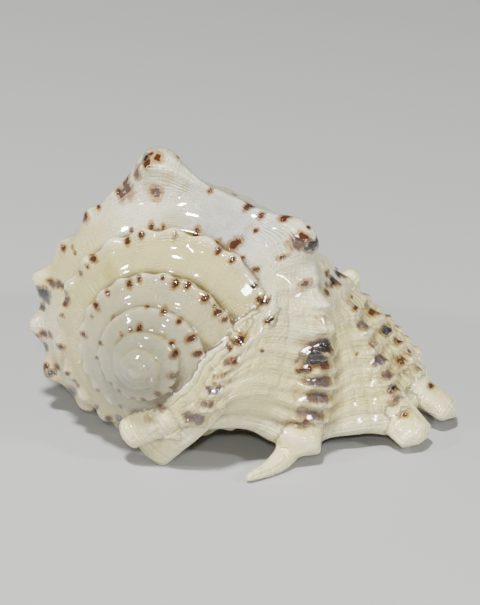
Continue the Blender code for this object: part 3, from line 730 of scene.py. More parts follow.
@dataclass
class ShellSkin:
    """The whole shell: its nets, their fusing into one skin, and the values painted on that skin."""

    spiral: GrowthSpiral
    flare: Flare
    relief: Relief
    canal: Canal
    digits: tuple[Digit, ...]
    apex_growth: float = -2500.0
    spire_end: float = -150.0
    spire_columns: float = 5.0
    body_start: float = -330.0
    body_end: float = 62.0
    wall_start: float = 40.0
    axis_overlap: float = -1.2
    row_length: float = 0.7
    column_step: float = 0.07
    wall_at_start: float = 1.6
    wall_at_lip: float = 3.2
    thickens_from: float = 120.0
    thick_before_lip: float = 15.0
    rim_points: int = 9
    rim_growth: float = 4.0
    edge_fade: float = 0.4
    gutter_width: float = 0.85
    tip_length: float = 0.8
    tip_width: float = 0.45
    past_end: tuple[float, float] = (1.02, 1.04)
    horn_back: float = 12.0
    horn_growth: float = 1.6
    horn_sway: float = 0.28
    voxel: float = 0.47
    smooth_steps: int = 2
    spot_long: float = 1.30
    spot_narrow: float = 0.74
    hollow_steps: int = 22
    nook_rays: int = 7
    nook_lift: float = 0.25
    nook_turn: float = 2.4
    nook_rise: float = 0.75
    nook_lean: float = 0.2
    nook_reach: float = 9.0
    lie_turn: tuple[float, float] = (-2.4, -5.4)
    lie_move: Point = (-10.5735, -41.5044, 19.266)
    nets: list[Net] = field(default_factory=list)

    @property
    def lie(self) -> Matrix:
        """From the growth frame in millimetres to the place where the shell lies, in metres."""
        turned = Euler((math.radians(self.lie_turn[0]), math.radians(self.lie_turn[1]), 0.0)).to_matrix()
        return Matrix.Translation(Vector(self.lie_move) * MM) @ (turned * MM).to_4x4()

    def growth_rows(self, start: float, end: float) -> Array:
        """Growth angles from start to end, evenly spread along the shoulder.

        Args:
            start: First angle.
            end: Last angle.

        Returns:
            The angles.
        """
        rows = [start]
        while rows[-1] < end:
            reach = max(float(self.spiral.radius(rows[-1])), 3.0)
            rows.append(rows[-1] + math.degrees(self.row_length / reach))
        rows[-1] = end
        return np.array(rows)

    def whorl(self, start: float, end: float, last_column: float) -> Net:
        """A closed solid swept from the axis out to the whorl's surface.

        Args:
            start: First growth angle.
            end: Last growth angle.
            last_column: Where the profile ends.

        Returns:
            The net.
        """
        columns = np.arange(0, last_column + 0.01, self.column_step)
        growth, column = np.meshgrid(self.growth_rows(start, end), columns, indexing="ij")
        surface = self.spiral.points(growth, column)
        surface = surface + normals_of(surface) * self.relief.heights(growth, column)[..., None]
        top = self.spiral.round_axis(self.axis_overlap, surface[:, :1, 1], growth[:, :1])
        bottom = self.spiral.round_axis(self.axis_overlap, surface[:, -1:, 1], growth[:, -1:])
        points = np.concatenate([top, surface, bottom, top], axis=1)
        wide = np.concatenate([growth[:, :1], growth, growth[:, :2]], axis=1)
        along = np.concatenate([column[:, :1], column, column[:, -1:], column[:, :1]], axis=1)
        return Net(points, wide, along, np.zeros_like(wide))

    def lip_wall(self) -> Net:
        """The wall of the last half turn and the flared lip, rounded over at its edge.

        Returns:
            The net.
        """
        columns = np.arange(0, self.spiral.last_column + self.column_step / 2, self.column_step)
        rows = self.growth_rows(self.wall_start, self.flare.lip)
        growth, column = np.meshgrid(rows, columns, indexing="ij")
        plain = self.flare.points(growth, column)
        normal = normals_of(plain)
        outer = plain + normal * self.relief.heights(growth, column)[..., None]
        thick = ease(self.thickens_from, self.flare.lip - self.thick_before_lip, growth)
        thick = self.wall_at_start + (self.wall_at_lip - self.wall_at_start) * thick
        thick = thick * ease(0.0, self.edge_fade, column)
        thick = thick * ease(0.0, self.edge_fade, self.spiral.last_column - column)
        inner = plain - normal * thick[..., None]
        middle = (outer[-1] + inner[-1]) / 2
        half = (outer[-1] - inner[-1]) / 2
        onward = unit(plain[-1] - plain[-2]) * np.linalg.norm(half, axis=-1, keepdims=True)
        turns = np.linspace(0, math.pi, self.rim_points)[1:-1]
        rim = np.array([middle + half * math.cos(t) + onward * math.sin(t) for t in turns])
        points = np.concatenate([outer, rim, inner[::-1], outer[:1]], axis=0)
        rim_growth = np.array([growth[-1] + self.rim_growth * math.sin(t) for t in turns])
        all_growth = np.concatenate([growth, rim_growth, growth[::-1], growth[:1]], axis=0)
        all_column = np.repeat(column[:1], len(points), axis=0)
        over = rim_growth * 0 + turns[:, None] / math.pi
        inside = np.concatenate([growth * 0, over, np.ones_like(growth), growth[:1] * 0], axis=0)
        return Net(points, all_growth, all_column, inside)

    def digit_path(self, digit: Digit) -> tuple[tuple[float, ...], ...]:
        """The points a digit runs through: two under the skin of its cord, then its own.

        Args:
            digit: The digit.

        Returns:
            The points in order.
        """
        growth = np.linspace(self.flare.lip - digit.root, self.flare.lip, 9)
        near = digit.column + 0.05 * np.array([-1.0, 0.0, 1.0])
        points = self.flare.points(*np.meshgrid(growth, near, indexing="ij"))
        sunk = points - normals_of(points) * digit.sink
        return (tuple(sunk[0, 1]), tuple(sunk[5, 1])) + digit.onward

    def horn(self, path: tuple[tuple[float, ...], ...], shape: Digit | Canal) -> Net:
        """A tapering horn along a path, hollowed along its lower side.

        Args:
            path: Points that it runs through.
            shape: The digit or canal that it is.

        Returns:
            The net.
        """
        share = np.linspace(0, 1, shape.rings)
        line = spline(np.linspace(0, 1, len(path)), np.array(path), share)
        size = spline(np.linspace(0, 1, len(shape.sizes)), np.array(shape.sizes), share)
        way = unit(np.gradient(line, axis=0))
        across = unit(np.cross(way, np.array(shape.outward)))
        over = np.cross(across, way)
        turn = np.linspace(0, 2 * math.pi, shape.sides + 1)[None, :, None]
        low = shape.gutter * hump(turn, 1.5 * math.pi, self.gutter_width)
        ring = line[:, None] + across[:, None] * np.cos(turn) * size[:, None, :1]
        ring = ring + over[:, None] * np.sin(turn) * (1 - low * 1.5) * size[:, None, 1:]
        end = ring[-1:].mean(axis=1, keepdims=True) + way[-1] * size[-1, 1] * self.tip_length
        tip = end + (ring[-1:] - end) * self.tip_width
        start, close = (np.repeat(point, shape.sides + 1, axis=1) for point in (line[None, :1], end))
        points = np.concatenate([start, ring, tip, close], axis=0)
        along = np.concatenate([[0.0], share, self.past_end])[:, None]
        length = float(np.linalg.norm(np.diff(line, axis=0), axis=-1).sum())
        turn = turn[:, :, 0]
        growth = self.flare.lip - self.horn_back + along * length * self.horn_growth + 0 * turn
        column = shape.column + self.horn_sway * np.sin(turn) * np.cos(turn / 2) + 0 * along
        under = ease(0.1, 0.9, -np.sin(turn)) + 0 * along
        return Net(points, growth, column, under)

    def grow(self) -> Object:
        """Grows every net, joins them and lays them as the shell lies.

        Returns:
            The raw shell.
        """
        self.nets = [
            self.whorl(self.apex_growth, self.spire_end, self.spire_columns),
            self.whorl(self.body_start, self.body_end, float(self.spiral.last_column)),
            self.lip_wall(),
            self.horn(self.canal.path, self.canal),
        ]
        for digit in self.digits:
            self.nets.append(self.horn(self.digit_path(digit), digit))
            LOG.info("grew the %s digit", digit.name)
        whole = blank_net()
        for net in self.nets:
            one = blank_net()
            net.add_to(one)
            mesh = mesh_from(one, "net")
            whole.from_mesh(mesh)
            bpy.data.meshes.remove(mesh)
        bmesh.ops.transform(whole, matrix=self.lie, verts=whole.verts)
        return put_in_scene("shell_nets", mesh_from(whole, "shell_nets"))

    def fuse(self, raw: Object) -> Object:
        """Fuses the nets into one skin.

        Args:
            raw: The joined nets.

        Returns:
            The skin as a new object with a plain mesh.
        """
        voxels = raw.modifiers.new("skin", "REMESH")
        voxels.mode = "VOXEL"
        voxels.voxel_size = self.voxel * MM
        eased = raw.modifiers.new("ease", "SMOOTH")
        eased.factor = 0.5
        eased.iterations = self.smooth_steps
        graph = bpy.context.evaluated_depsgraph_get()
        mesh = bpy.data.meshes.new_from_object(raw.evaluated_get(graph))
        mesh.name = "conch_shell"
        raw.modifiers.clear()
        return put_in_scene("conch_shell", mesh)

    def carry_values(self, raw: Object, skin: Object) -> Array:
        """Copies each of VALUES from the nets to the nearest places of the skin.

        Args:
            raw: The joined nets, which hold the values.
            skin: The fused skin.

        Returns:
            The skin's points, one row a vertex, in metres.
        """
        source = raw.data
        source.calc_loop_triangles()
        corners = read(source.loop_triangles, "vertices", 3, np.int32)
        spots = read(source.vertices, "co", 3).astype(float)
        tree = BVHTree.FromPolygons(spots.tolist(), corners.tolist())
        places = read(skin.data.vertices, "co", 3).astype(float)
        hits = [tree.find_nearest(Vector(place)) for place in places]
        faces = corners[[hit[2] for hit in hits]]
        at = np.array([hit[0][:] for hit in hits])
        a, b, c = (spots[faces[:, i]] for i in range(3))
        first, second, third = b - a, c - a, at - a
        pairs = ((first, first), (first, second), (second, second), (third, first), (third, second))
        d00, d01, d11, d20, d21 = ((one * other).sum(1) for one, other in pairs)
        area = np.maximum(d00 * d11 - d01 * d01, 1e-30)
        v = np.clip((d11 * d20 - d01 * d21) / area, 0, 1)
        w = np.clip((d00 * d21 - d01 * d20) / area, 0, 1)
        shares = np.stack([np.clip(1 - v - w, 0, 1), v, w], axis=1)
        for name in VALUES:
            values = read(source.attributes[name].data, "value")
            self.keep(skin, name, (values[faces] * shares).sum(1))
        return places

    def surface_frame(self, growth: float, column: float) -> tuple[Vector, Vector, Vector]:
        """Where a growth angle and a column lie on the outside, and the two ways that lead on from there.

        Args:
            growth: Growth angle.
            column: Place on the profile.

        Returns:
            The place in metres, and unit vectors along growth and along the profile.
        """
        near = np.array([-1.0, 0.0, 1.0])
        growths, columns = np.meshgrid(growth + 0.4 * near, column + 0.05 * near, indexing="ij")
        plain = self.flare.points(growths, columns)
        spot = plain + normals_of(plain) * self.relief.heights(growths, columns)[..., None]
        turned = self.lie.to_3x3().normalized()
        onward = turned @ Vector(plain[2, 1] - plain[0, 1]).normalized()
        aside = turned @ Vector(plain[1, 2] - plain[1, 0]).normalized()
        return self.lie @ Vector(spot[1, 1]), onward, aside

    def strewn(self, tint: Tint) -> tuple[Point, ...]:
        """Spots on the sides that the photograph hides, strewn along the cords and under the shoulder.

        Args:
            tint: The pigment.

        Returns:
            Growth, column and radius of each.
        """
        seed, share = STREWN[tint]
        dice = np.random.default_rng(seed)
        spots = []
        if tint is Tint.BROWN:
            for growth in np.arange(-1290.0, -150.0, 17.0):
                if math.sin(math.radians(growth)) < -0.45 and dice.random() < 0.75:
                    size = 0.5 + 0.03 * float(self.spiral.radius(growth))
                    place = growth + dice.uniform(-4, 4), 2.82 + dice.uniform(-0.1, 0.1)
                    spots.append((*place, size * dice.uniform(0.7, 1.1)))
        for column in (3.1, 4.0, 5.0, 6.0, 6.9, 8.0, 9.0, 10.1, 11.0, 12.0):
            for growth in np.arange(-60.0, 135.0 if column < 8 else 205.0, 9.0):
                if dice.random() < share:
                    place = growth + dice.uniform(-3, 3), column + dice.uniform(-0.2, 0.2)
                    spots.append((*place, dice.uniform(0.5, 1.3)))
        return tuple(spots)

    def paint_spots(self, skin: Object, places: Array) -> None:
        """Writes one field a tint: 1 in the middle of a spot, 0 on its rim, falling on outside.

        Args:
            skin: The fused skin.
            places: Its points in metres.
        """
        for tint, spots in SPOTS.items():
            value = np.full(len(places), -3.0)
            for growth, column, radius in spots + self.strewn(tint):
                centre, onward, aside = (np.array(vector[:]) for vector in self.surface_frame(growth, column))
                away = places - centre
                along, across = away @ onward, away @ aside
                deep = (away**2).sum(axis=1) - along**2 - across**2
                level = (along / self.spot_narrow) ** 2 + (across / self.spot_long) ** 2
                away = np.sqrt(level + np.maximum(deep, 0))
                value = np.maximum(value, 1 - away / (radius * SPOT_SCALE[tint] * MM))
            self.keep(skin, tint.value, value)

    @staticmethod
    def keep(skin: Object, name: str, values: Array) -> None:
        """Keeps one number a point on the skin under a name."""
        made = skin.data.attributes.new(name, "FLOAT", "POINT")
        made.data.foreach_set("value", values.astype(np.float32))

    def paint_relief(self, skin: Object, places: Array) -> None:
        """Writes how strong the bars are at each point, how deep it lies, and how far it is closed in.

        Args:
            skin: The fused skin.
            places: Its points in metres.
        """
        mesh = skin.data
        count = len(places)
        growth, column = (read(mesh.attributes[name].data, "value") for name in ("growth", "column"))
        self.keep(skin, "bar", self.relief.bars(growth, column))
        first, second = read(mesh.edges, "vertices", 2, np.int32).T
        around = (np.bincount(first, minlength=count) + np.bincount(second, minlength=count))[:, None]
        eased = places
        for _ in range(self.hollow_steps):
            near = [
                np.bincount(first, row[second], count) + np.bincount(second, row[first], count)
                for row in eased.T
            ]
            eased = np.stack(near, axis=1) / around
        normal = read(mesh.vertex_normals, "vector", 3)
        # How deep and how closed in each point lies; the finish darkens hollows and nooks by these as painted
        # shade and whitens crests as a painted highlight
        self.keep(skin, "hollow", ((eased - places) * normal).sum(axis=1) / MM)
        self.keep(skin, "nook", self.closed_in(mesh, places, normal))

    def closed_in(self, mesh: bpy.types.Mesh, places: Array, normal: Array) -> Array:
        """How much of the view outwards from each point the shell itself closes off, from 0 to 1.

        Args:
            mesh: The skin's mesh.
            places: Its points in metres.
            normal: Its normals.

        Returns:
            One share a point.
        """
        tree = BVHTree.FromPolygons(places.tolist(), [tuple(face.vertices) for face in mesh.polygons])
        turns = np.arange(self.nook_rays) * self.nook_turn
        ring = np.stack([np.cos(turns), np.sin(turns), np.zeros_like(turns)], axis=1)
        ways = normal[:, None] * self.nook_rise + ring[None]
        lean = (ways * normal[:, None]).sum(axis=2, keepdims=True)
        ways = ways + normal[:, None] * np.maximum(0.0, self.nook_lean - lean)
        starts = (places + normal * self.nook_lift * MM).tolist()
        reach = self.nook_reach * MM
        closed = np.zeros(len(places))
        for i, start in enumerate(starts):
            for way in ways[i]:
                if tree.ray_cast(start, way, reach)[0] is not None:
                    closed[i] += 1.0 / self.nook_rays
        return closed


@dataclass
class Wires:
    """Adds shader nodes to one tree and joins them up."""

    tree: bpy.types.NodeTree
    mix_inputs: tuple[int, int, int] = (0, 6, 7)
    mix_output: int = 2

    @property
    def here(self) -> Socket:
        """The place on the object, in metres."""
        return self.add("ShaderNodeTexCoord").outputs["Object"]

    def add(self, kind: str, **settings: object) -> Node:
        """Adds one node.

        Args:
            kind: The node's type name.
            settings: Its properties.

        Returns:
            The node.
        """
        node = self.tree.nodes.new(kind)
        for name, value in settings.items():
            setattr(node, name, value)
        return node

    def put(self, socket: Socket, value: object) -> None:
        """Fills an input.

        Args:
            socket: The input.
            value: A number, a colour or another node's output.
        """
        if isinstance(value, Socket):
            self.tree.links.new(value, socket)
        else:
            socket.default_value = value

    def maths(self, operation: str, *values: object) -> Socket:
        """One calculation.

        Args:
            operation: The Math node's operation.
            values: Its inputs, numbers or outputs.

        Returns:
            The result.
        """
        node = self.add("ShaderNodeMath", operation=operation)
        for socket, value in zip(node.inputs, values):
            self.put(socket, value)
        return node.outputs[0]

    def times(self, product: Socket, *others: object) -> Socket:
        """The product of its values.

        Args:
            product: The first value.
            others: The others.

        Returns:
            The product.
        """
        for other in others:
            product = self.maths("MULTIPLY", product, other)
        return product

    def smooth(self, value: object, low: object, high: object) -> Socket:
        """Rises smoothly from 0 at low to 1 at high.

        Args:
            value: What is measured.
            low: Where the rise starts.
            high: Where it ends.

        Returns:
            The mask.
        """
        node = self.add("ShaderNodeMapRange", interpolation_type="SMOOTHSTEP")
        for name, given in (("Value", value), ("From Min", low), ("From Max", high)):
            self.put(node.inputs[name], given)
        return node.outputs["Result"]

    def blend(self, share: object, under: object, over: object) -> Socket:
        """Lays one colour over another.

        Args:
            share: How much of the upper colour shows.
            under: The lower colour.
            over: The upper colour.

        Returns:
            The colour.
        """
        node = self.add("ShaderNodeMix", data_type="RGBA")
        for index, value in zip(self.mix_inputs, (share, under, over)):
            self.put(node.inputs[index], value)
        return node.outputs[self.mix_output]

    def attribute(self, name: str) -> Socket:
        """Reads a value kept on the skin."""
        return self.add("ShaderNodeAttribute", attribute_name=name).outputs["Fac"]

    def along(self, x: object, y: object) -> Socket:
        """Puts two values together as a place.

        Args:
            x: First value.
            y: Second value.

        Returns:
            The place.
        """
        node = self.add("ShaderNodeCombineXYZ")
        for socket, value in zip(node.inputs, (x, y)):
            self.put(socket, value)
        return node.outputs[0]

    def noise(self, place: object, scale: float, detail: float = 2.0, rough: float = 0.5) -> Socket:
        """Cloudy noise from 0 to 1.

        Args:
            place: Where it is read.
            scale: How fine it is.
            detail: How many finer layers it has.
            rough: How strong those are.

        Returns:
            The noise.
        """
        node = self.add("ShaderNodeTexNoise")
        self.put(node.inputs["Vector"], place)
        for name, value in (("Scale", scale), ("Detail", detail), ("Roughness", rough)):
            node.inputs[name].default_value = value
        return node.outputs["Fac"]

    def place(self, group: bpy.types.NodeTree, **values: object) -> Node:
        """Places a node group.

        Args:
            group: The group.
            values: Its inputs by name, with _ for a space.

        Returns:
            The group's node.
        """
        node = self.add("ShaderNodeGroup", node_tree=group)
        for name, value in values.items():
            self.put(node.inputs[name.replace("_", " ")], value)
        return node


@dataclass(frozen=True)
class GroupPlan:
    """A node group's name and its named inputs and outputs, all plain numbers."""

    name: str
    takes: tuple[str, ...]
    gives: tuple[str, ...]

    def start(self) -> tuple[Wires, list[Socket], list[Socket]]:
        """Makes the empty group.

        Returns:
            Its wires, what it takes and what it gives.
        """
        tree = bpy.data.node_groups.new(self.name, "ShaderNodeTree")
        for way, names in (("INPUT", self.takes), ("OUTPUT", self.gives)):
            for name in names:
                tree.interface.new_socket(name, in_out=way, socket_type="NodeSocketFloat")
        wires = Wires(tree)
        takes = wires.add("NodeGroupInput").outputs[: len(self.takes)]
        return wires, takes, wires.add("NodeGroupOutput").inputs[: len(self.gives)]


@dataclass(frozen=True)
class Effects:
    """The effects that the finish is put together from, each a node group."""

    belt: bpy.types.NodeTree
    blot: bpy.types.NodeTree
    ribs: bpy.types.NodeTree

    @classmethod
    def build(cls) -> Effects:
        """Builds every group once."""
        return cls(cls.belt_group(), cls.blot_group(), cls.rib_group())

    @staticmethod
    def belt_group() -> bpy.types.NodeTree:
        """A soft band round one value: 1 in its middle, 0 from its half width on.

        Returns:
            The group.
        """
        plan = GroupPlan("belt", ("Value", "Centre", "Half Width"), ("Mask",))
        wires, (value, centre, half), (mask,) = plan.start()
        away = wires.maths("DIVIDE", wires.maths("ABSOLUTE", wires.maths("SUBTRACT", value, centre)), half)
        wires.put(mask, wires.smooth(wires.maths("SUBTRACT", 1.0, away), 0.0, 1.0))
        return wires.tree

    @staticmethod
    def blot_group() -> bpy.types.NodeTree:
        """A pigment spot from its distance field, streaked along the spiral: a core and a paler halo.

        Returns:
            The group.
        """
        plan = GroupPlan("blot", ("Field", "Growth", "Column", "Ragged", "Wide"), ("Core", "Halo"))
        wires, (spot, growth, column, ragged, wide), (core, halo) = plan.start()
        streaks = wires.noise(wires.along(wires.times(growth, 0.11), wires.times(column, 7.0)), 1.6, 2.0)
        crumbs = wires.noise(wires.here, 620.0, 1.0)
        streaks, crumbs = (wires.maths("SUBTRACT", noise, 0.5) for noise in (streaks, crumbs))
        torn = wires.maths("MULTIPLY_ADD", wires.maths("ADD", streaks, crumbs), ragged, spot)
        middle = wires.smooth(torn, 0.08, 0.42)
        round_it = wires.smooth(torn, wires.times(wide, -1.0), 0.15)
        wires.put(core, middle)
        wires.put(halo, wires.times(round_it, wires.maths("SUBTRACT", 1.0, middle)))
        return wires.tree

    @staticmethod
    def rib_group() -> bpy.types.NodeTree:
        """The fine relief of the skin: spiral threads crossed by growth lines.

        Returns:
            The group.
        """
        plan = GroupPlan("fine_ribs", ("Growth", "Column", "Threads", "Lines"), ("Height",))
        wires, (growth, column, threads, lines), (height,) = plan.start()
        wander = wires.noise(wires.along(growth, column), 0.16, 1.0)
        swayed = wires.maths("MULTIPLY_ADD", wander, 0.16, column)
        wave = wires.maths("SINE", wires.times(swayed, threads))
        thread = wires.maths("POWER", wires.maths("ABSOLUTE", wave), 0.7)
        beat = wires.noise(wires.along(wires.times(growth, lines), wires.times(column, 0.5)), 1.0, 3.0, 0.6)
        uneven = wires.noise(wires.here, 260.0, 2.0)
        fine = wires.times(thread, wires.smooth(uneven, 0.30, 0.62))
        wires.put(height, wires.maths("MULTIPLY_ADD", fine, 0.55, beat))
        return wires.tree


@dataclass
class Layers:
    """The colour of one material while it is laid on, with the shell's own two values."""

    wires: Wires
    effects: Effects
    growth: Socket
    column: Socket
    colour: object

    def lay(self, tone: object, *shares: object) -> None:
        """Lays a tone over the colour, by the product of its shares."""
        self.colour = self.wires.blend(self.wires.times(*shares), self.colour, tone)

    def near(self, centre: float, half: float) -> Socket:
        """A soft band round one growth angle."""
        belt = self.wires.place(self.effects.belt, Value=self.growth, Centre=centre, Half_Width=half)
        return belt.outputs["Mask"]


@dataclass(frozen=True)
class Enamel:
    """The glossy porcelain skin with its zones, stains and pigment spots."""

    cream: Colour = (0.680, 0.600, 0.250, 1.0)
    white: Colour = (0.780, 0.740, 0.520, 1.0)
    old_ramp: Colour = (0.480, 0.450, 0.290, 1.0)
    young_ramp: Colour = (0.620, 0.550, 0.230, 1.0)
    blue_milk: Colour = (0.530, 0.540, 0.520, 1.0)
    wing: Colour = (0.780, 0.690, 0.280, 1.0)
    stain: Colour = (0.500, 0.330, 0.050, 1.0)
    orange: Colour = (0.300, 0.130, 0.001, 1.0)
    brown: Colour = (0.065, 0.017, 0.001, 1.0)
    black: Colour = (0.008, 0.005, 0.004, 1.0)
    olive: Colour = (0.420, 0.330, 0.040, 1.0)
    violet: Colour = (0.034, 0.020, 0.036, 1.0)
    throat: Colour = (0.250, 0.060, 0.280, 1.0)
    blush: Colour = (0.780, 0.560, 0.380, 1.0)
    # Dark brown of the painted shade in hollows, nooks and the seam under the spire; in that seam it also
    # stands for some brown dirt
    painted_shade: Colour = (0.130, 0.078, 0.022, 1.0)
    ochre: Colour = (0.500, 0.340, 0.060, 1.0)
    roughness: float = 0.055
    dulling: float = 0.09
    specular: float = 0.95
    gloss: float = 0.05
    fine_depth: float = 0.00030
    thread_counts: tuple[float, ...] = (19.0, 34.0, 11.5)
    wing_strength: float = 1.9
    crinkle_strength: float = 1.1
    halo_strength: float = 0.85

    def zones(self, paint: Layers) -> None:
        """Lays the ground colour of the outside, zone by zone.

        Args:
            paint: The layers, with the cream ground.
        """
        wires, growth, column = paint.wires, paint.growth, paint.column
        cloud = wires.smooth(wires.noise(wires.here, 90.0, 3.0), 0.35, 0.68)
        young = wires.blend(wires.smooth(growth, -420.0, -700.0), self.young_ramp, self.old_ramp)
        young = wires.blend(wires.times(cloud, 0.45), young, self.cream)
        paint.lay(self.white, cloud)
        paint.lay(young, wires.smooth(column, 3.2, 2.4), wires.smooth(growth, -20.0, -130.0))
        paint.lay(self.blue_milk, paint.near(118.0, 52.0), wires.smooth(column, 4.6, 3.2), 0.85)
        paint.lay(self.ochre, paint.near(-18.0, 62.0), wires.smooth(column, 2.2, 3.0), 0.6)
        paint.lay(self.wing, wires.smooth(growth, 158.0, 188.0), 0.85)

    def stains(self, paint: Layers) -> None:
        """Lays the yellow stains near the lip, painted shade in the hollows and closed-in nooks, a painted
        shadow with some brown dirt in the seam under the spire, a painted highlight of white on the crests,
        and the white of the rim.

        Args:
            paint: The layers.
        """
        wires, column = paint.wires, paint.column
        lines = wires.noise(wires.along(wires.times(paint.growth, 0.5), wires.times(column, 0.55)), 0.8, 3.0)
        hollow = wires.attribute("hollow")
        paint.lay(self.stain, paint.near(196.0, 30.0), wires.smooth(lines, 0.48, 0.74), 0.60)
        # Painted highlight: white laid on the convex crests and ledge edges
        paint.lay(self.white, wires.smooth(hollow, -0.06, -0.50), 0.45)
        # Painted shade: darker in the concave hollows
        paint.lay(self.painted_shade, wires.smooth(hollow, 0.04, 0.45), 0.85)
        # Painted shade: darker where the shell closes off the view outwards
        paint.lay(self.painted_shade, wires.smooth(wires.attribute("nook"), 0.40, 1.0), 0.65)
        # Painted shadow under the spire's overhang, in the seam of the last whorl near growth -92, with some
        # brown dirt in it
        paint.lay(self.painted_shade, paint.near(-92.0, 52.0), wires.smooth(column, 2.9, 1.0), 0.80)
        paint.lay(self.white, paint.near(214.0, 6.0), 0.5)

    def spots(self, paint: Layers) -> None:
        """Lays the bars on the cords and the pigment spots, each tint with its own halo.

        Args:
            paint: The layers.
        """
        wires, growth, column = paint.wires, paint.growth, paint.column
        outside = wires.smooth(wires.attribute("inside"), 0.6, 0.2)
        streaks = wires.along(wires.times(growth, 0.30), wires.times(column, 9.0))
        ragged = wires.maths("SUBTRACT", wires.noise(streaks, 1.0, 3.0, 0.6), 0.5)
        bar = wires.maths("ADD", ragged, wires.attribute("bar"))
        for low, high, tone, strength in (
            (0.02, 0.50, self.orange, 0.45), (0.28, 0.66, self.brown, 0.70), (0.42, 0.90, self.violet, 0.80)
        ):
            paint.lay(tone, wires.smooth(bar, low, high), outside, strength)
        for tint, core, halo, ragged, wide, strength in (
            (Tint.OLIVE, self.olive, self.olive, 1.20, 0.60, 0.50),
            (Tint.BROWN, self.brown, self.orange, 1.10, 0.46, 1.0),
            (Tint.BLACK, self.black, self.brown, 0.95, 0.36, 1.0),
        ):
            spot = wires.attribute(tint.value)
            given = {"Growth": growth, "Column": column, "Ragged": ragged, "Wide": wide}
            blot = wires.place(paint.effects.blot, Field=spot, **given)
            paint.lay(halo, blot.outputs["Halo"], outside, self.halo_strength * strength)
            paint.lay(core, blot.outputs["Core"], outside, strength)

    def inner(self, paint: Layers) -> None:
        """Lays the inner face: white at the lip, blushing inwards, violet in the throat.

        Args:
            paint: The layers.
        """
        wires = paint.wires
        sway = wires.maths("MULTIPLY_ADD", wires.noise(wires.here, 140.0, 2.0), 30.0, paint.growth)
        lining = wires.blend(wires.smooth(sway, 205.0, 170.0), self.white, self.blush)
        lining = wires.blend(wires.smooth(sway, 178.0, 120.0), lining, self.throat)
        paint.lay(lining, wires.smooth(wires.attribute("inside"), 0.35, 0.85))

    def relief(self, paint: Layers) -> Socket:
        """The fine ribs of the spire, the body and the wing, each running over into the next.

        Args:
            paint: The layers.

        Returns:
            The height.
        """
        wires, growth, column = paint.wires, paint.growth, paint.column
        low, body, wing = (
            wires.place(paint.effects.ribs, Growth=growth, Column=column, Threads=count, Lines=0.9).outputs[0]
            for count in self.thread_counts
        )
        later = wires.maths("MAXIMUM", wires.smooth(growth, 60.0, 100.0), wires.smooth(column, 3.0, 3.6))
        wider = wires.maths("SUBTRACT", wires.times(wing, self.wing_strength), body)
        high = wires.maths("ADD", body, wires.times(wider, wires.smooth(growth, 140.0, 170.0)))
        relief = wires.maths("MULTIPLY_ADD", wires.maths("SUBTRACT", high, low), later, low)
        crossed = wires.along(wires.times(growth, 0.9), wires.times(column, 26.0))
        crinkle = wires.noise(crossed, 0.8, 2.0, 0.6)
        return wires.maths("MULTIPLY_ADD", crinkle, self.crinkle_strength, relief)

    def material(self) -> bpy.types.Material:
        """Builds the material.

        Returns:
            The material.
        """
        made = bpy.data.materials.new("conch_enamel")
        made.use_nodes = True
        wires = Wires(made.node_tree)
        surface = made.node_tree.nodes["Principled BSDF"]
        known = (wires.attribute(name) for name in ("growth", "column"))
        paint = Layers(wires, Effects.build(), *known, self.cream)
        for coat in (self.zones, self.stains, self.spots, self.inner):
            coat(paint)
        wires.put(surface.inputs["Base Color"], paint.colour)
        dull = wires.smooth(wires.noise(wires.here, 330.0, 3.0), 0.3, 0.8)
        rough = wires.maths("MULTIPLY_ADD", dull, self.dulling, self.roughness)
        wires.put(surface.inputs["Roughness"], rough)
        surface.inputs["Specular IOR Level"].default_value = self.specular
        surface.inputs["Coat Weight"].default_value = 1.0
        surface.inputs["Coat Roughness"].default_value = self.gloss
        bump = wires.add("ShaderNodeBump")
        bump.inputs["Distance"].default_value = self.fine_depth
        wires.put(bump.inputs["Height"], self.relief(paint))
        wires.put(surface.inputs["Normal"], bump.outputs["Normal"])
        return made


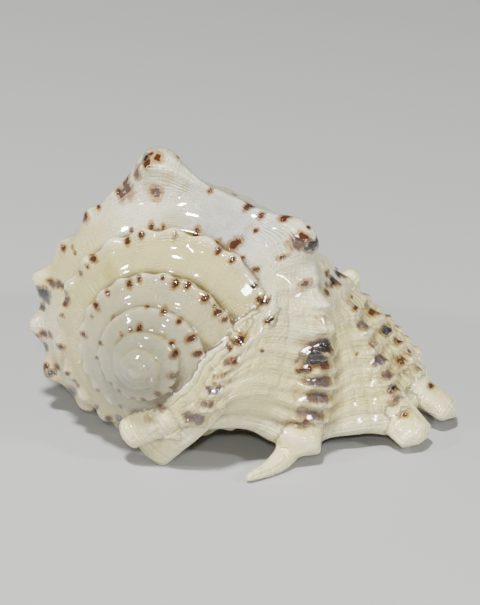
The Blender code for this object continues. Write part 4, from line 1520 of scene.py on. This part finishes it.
@dataclass
class Studio:
    """The pale floor, the soft lights and the camera at the photograph's angle."""

    shell: ShellSkin
    floor_size: float = 3.0
    floor_colour: Colour = (0.40, 0.40, 0.39, 1.0)
    floor_roughness: float = 0.75
    floor_specular: float = 0.2
    air_colour: Colour = (1.0, 0.98, 0.95, 1.0)
    air_strength: float = 0.10
    azimuth: float = 16.0
    elevation: float = 20.0
    distance: float = 380.0
    lens: float = 150.0
    apex_pixel: tuple[float, float] = (137.4, 367.3)
    frame_pixels: tuple[float, float] = (480.0, 605.0)

    def floor(self) -> Object:
        """Lays the plain pale floor.

        Returns:
            The floor.
        """
        bm = bmesh.new()
        bmesh.ops.create_grid(bm, x_segments=1, y_segments=1, size=self.floor_size)
        plane = put_in_scene("floor", mesh_from(bm, "floor"))
        paint = bpy.data.materials.new("pale_floor")
        paint.use_nodes = True
        surface = paint.node_tree.nodes["Principled BSDF"]
        surface.inputs["Base Color"].default_value = self.floor_colour
        surface.inputs["Roughness"].default_value = self.floor_roughness
        surface.inputs["Specular IOR Level"].default_value = self.floor_specular
        plane.data.materials.append(paint)
        return plane

    def lamp(self, name: str, place: Point, size: float, power: float) -> None:
        """Hangs one small square light that faces the shell.

        Args:
            name: The light's name.
            place: Where it hangs, in metres.
            size: Its side in metres.
            power: Its power in watts.
        """
        light = bpy.data.lights.new(name, "AREA")
        light.shape = "SQUARE"
        light.size = size
        light.energy = power
        lamp = put_in_scene(name, light)
        lamp.location = place
        lamp.rotation_euler = Vector(place).to_track_quat("Z", "Y").to_euler()

    def lights(self) -> None:
        """Lights the shell from high in front, near the camera, the left and the lip's side."""
        self.lamp("key", (-0.06, -0.46, 0.80), 0.09, 16.0)
        self.lamp("front", (0.16, -0.90, 0.50), 0.06, 5.0)
        self.lamp("left", (-0.55, -0.66, 0.48), 0.06, 4.0)
        self.lamp("side", (0.75, -0.20, 0.50), 0.09, 4.0)
        world = bpy.data.worlds.new("studio_air")
        world.use_nodes = True
        air = world.node_tree.nodes["Background"]
        air.inputs["Color"].default_value = self.air_colour
        air.inputs["Strength"].default_value = self.air_strength
        bpy.context.scene.world = world

    def camera(self) -> Object:
        """Sets the camera where the photographer stood, aimed through the picture's middle.

        Returns:
            The camera.
        """
        turn, lift = math.radians(self.azimuth), math.radians(self.elevation)
        back = Vector((math.sin(turn) * math.cos(lift), -math.cos(turn) * math.cos(lift), math.sin(lift)))
        right = Vector((math.cos(turn), math.sin(turn), 0.0))
        up = back.cross(right)
        width, height = self.frame_pixels
        focal = self.lens / 36.0 * height
        aside = (width / 2 - self.apex_pixel[0]) / focal
        above = (self.apex_pixel[1] - height / 2) / focal
        ahead = (right * aside + up * above - back).normalized()
        level = (right - ahead * right.dot(ahead)).normalized()
        frame = Matrix((level, level.cross(ahead), -ahead)).transposed()
        seat = self.shell.lie @ (back * self.distance)
        turned = self.shell.lie.to_3x3().normalized() @ frame
        data = bpy.data.cameras.new("photo_camera")
        data.lens = self.lens
        data.sensor_width = 36.0
        data.clip_start, data.clip_end = 0.01, 20.0
        camera = put_in_scene("photo_camera", data)
        camera.matrix_world = Matrix.Translation(seat) @ turned.to_4x4()
        bpy.context.scene.camera = camera
        return camera


def main() -> None:
    """Builds the shell, dresses it, and sets the studio round it."""
    logging.basicConfig(level=logging.INFO, format="%(name)s: %(message)s")
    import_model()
    spiral = GrowthSpiral()
    flare = Flare(spiral)
    shell = ShellSkin(spiral, flare, Relief(spiral, flare), Canal(), DIGITS)
    raw = shell.grow()
    LOG.info("grew %d nets with %d faces", len(shell.nets), len(raw.data.polygons))
    skin = shell.fuse(raw)
    places = shell.carry_values(raw, skin)
    shell.paint_spots(skin, places)
    shell.paint_relief(skin, places)
    bpy.data.objects.remove(raw)
    skin.data.shade_smooth()
    skin.data.materials.append(Enamel().material())
    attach(skin, "root")
    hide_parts(SHELL_NODE)
    LOG.info("shell skin: %d faces", len(skin.data.polygons))
    studio = Studio(shell)
    studio.floor()
    studio.lights()
    studio.camera()


if __name__ == "__main__":
    main()
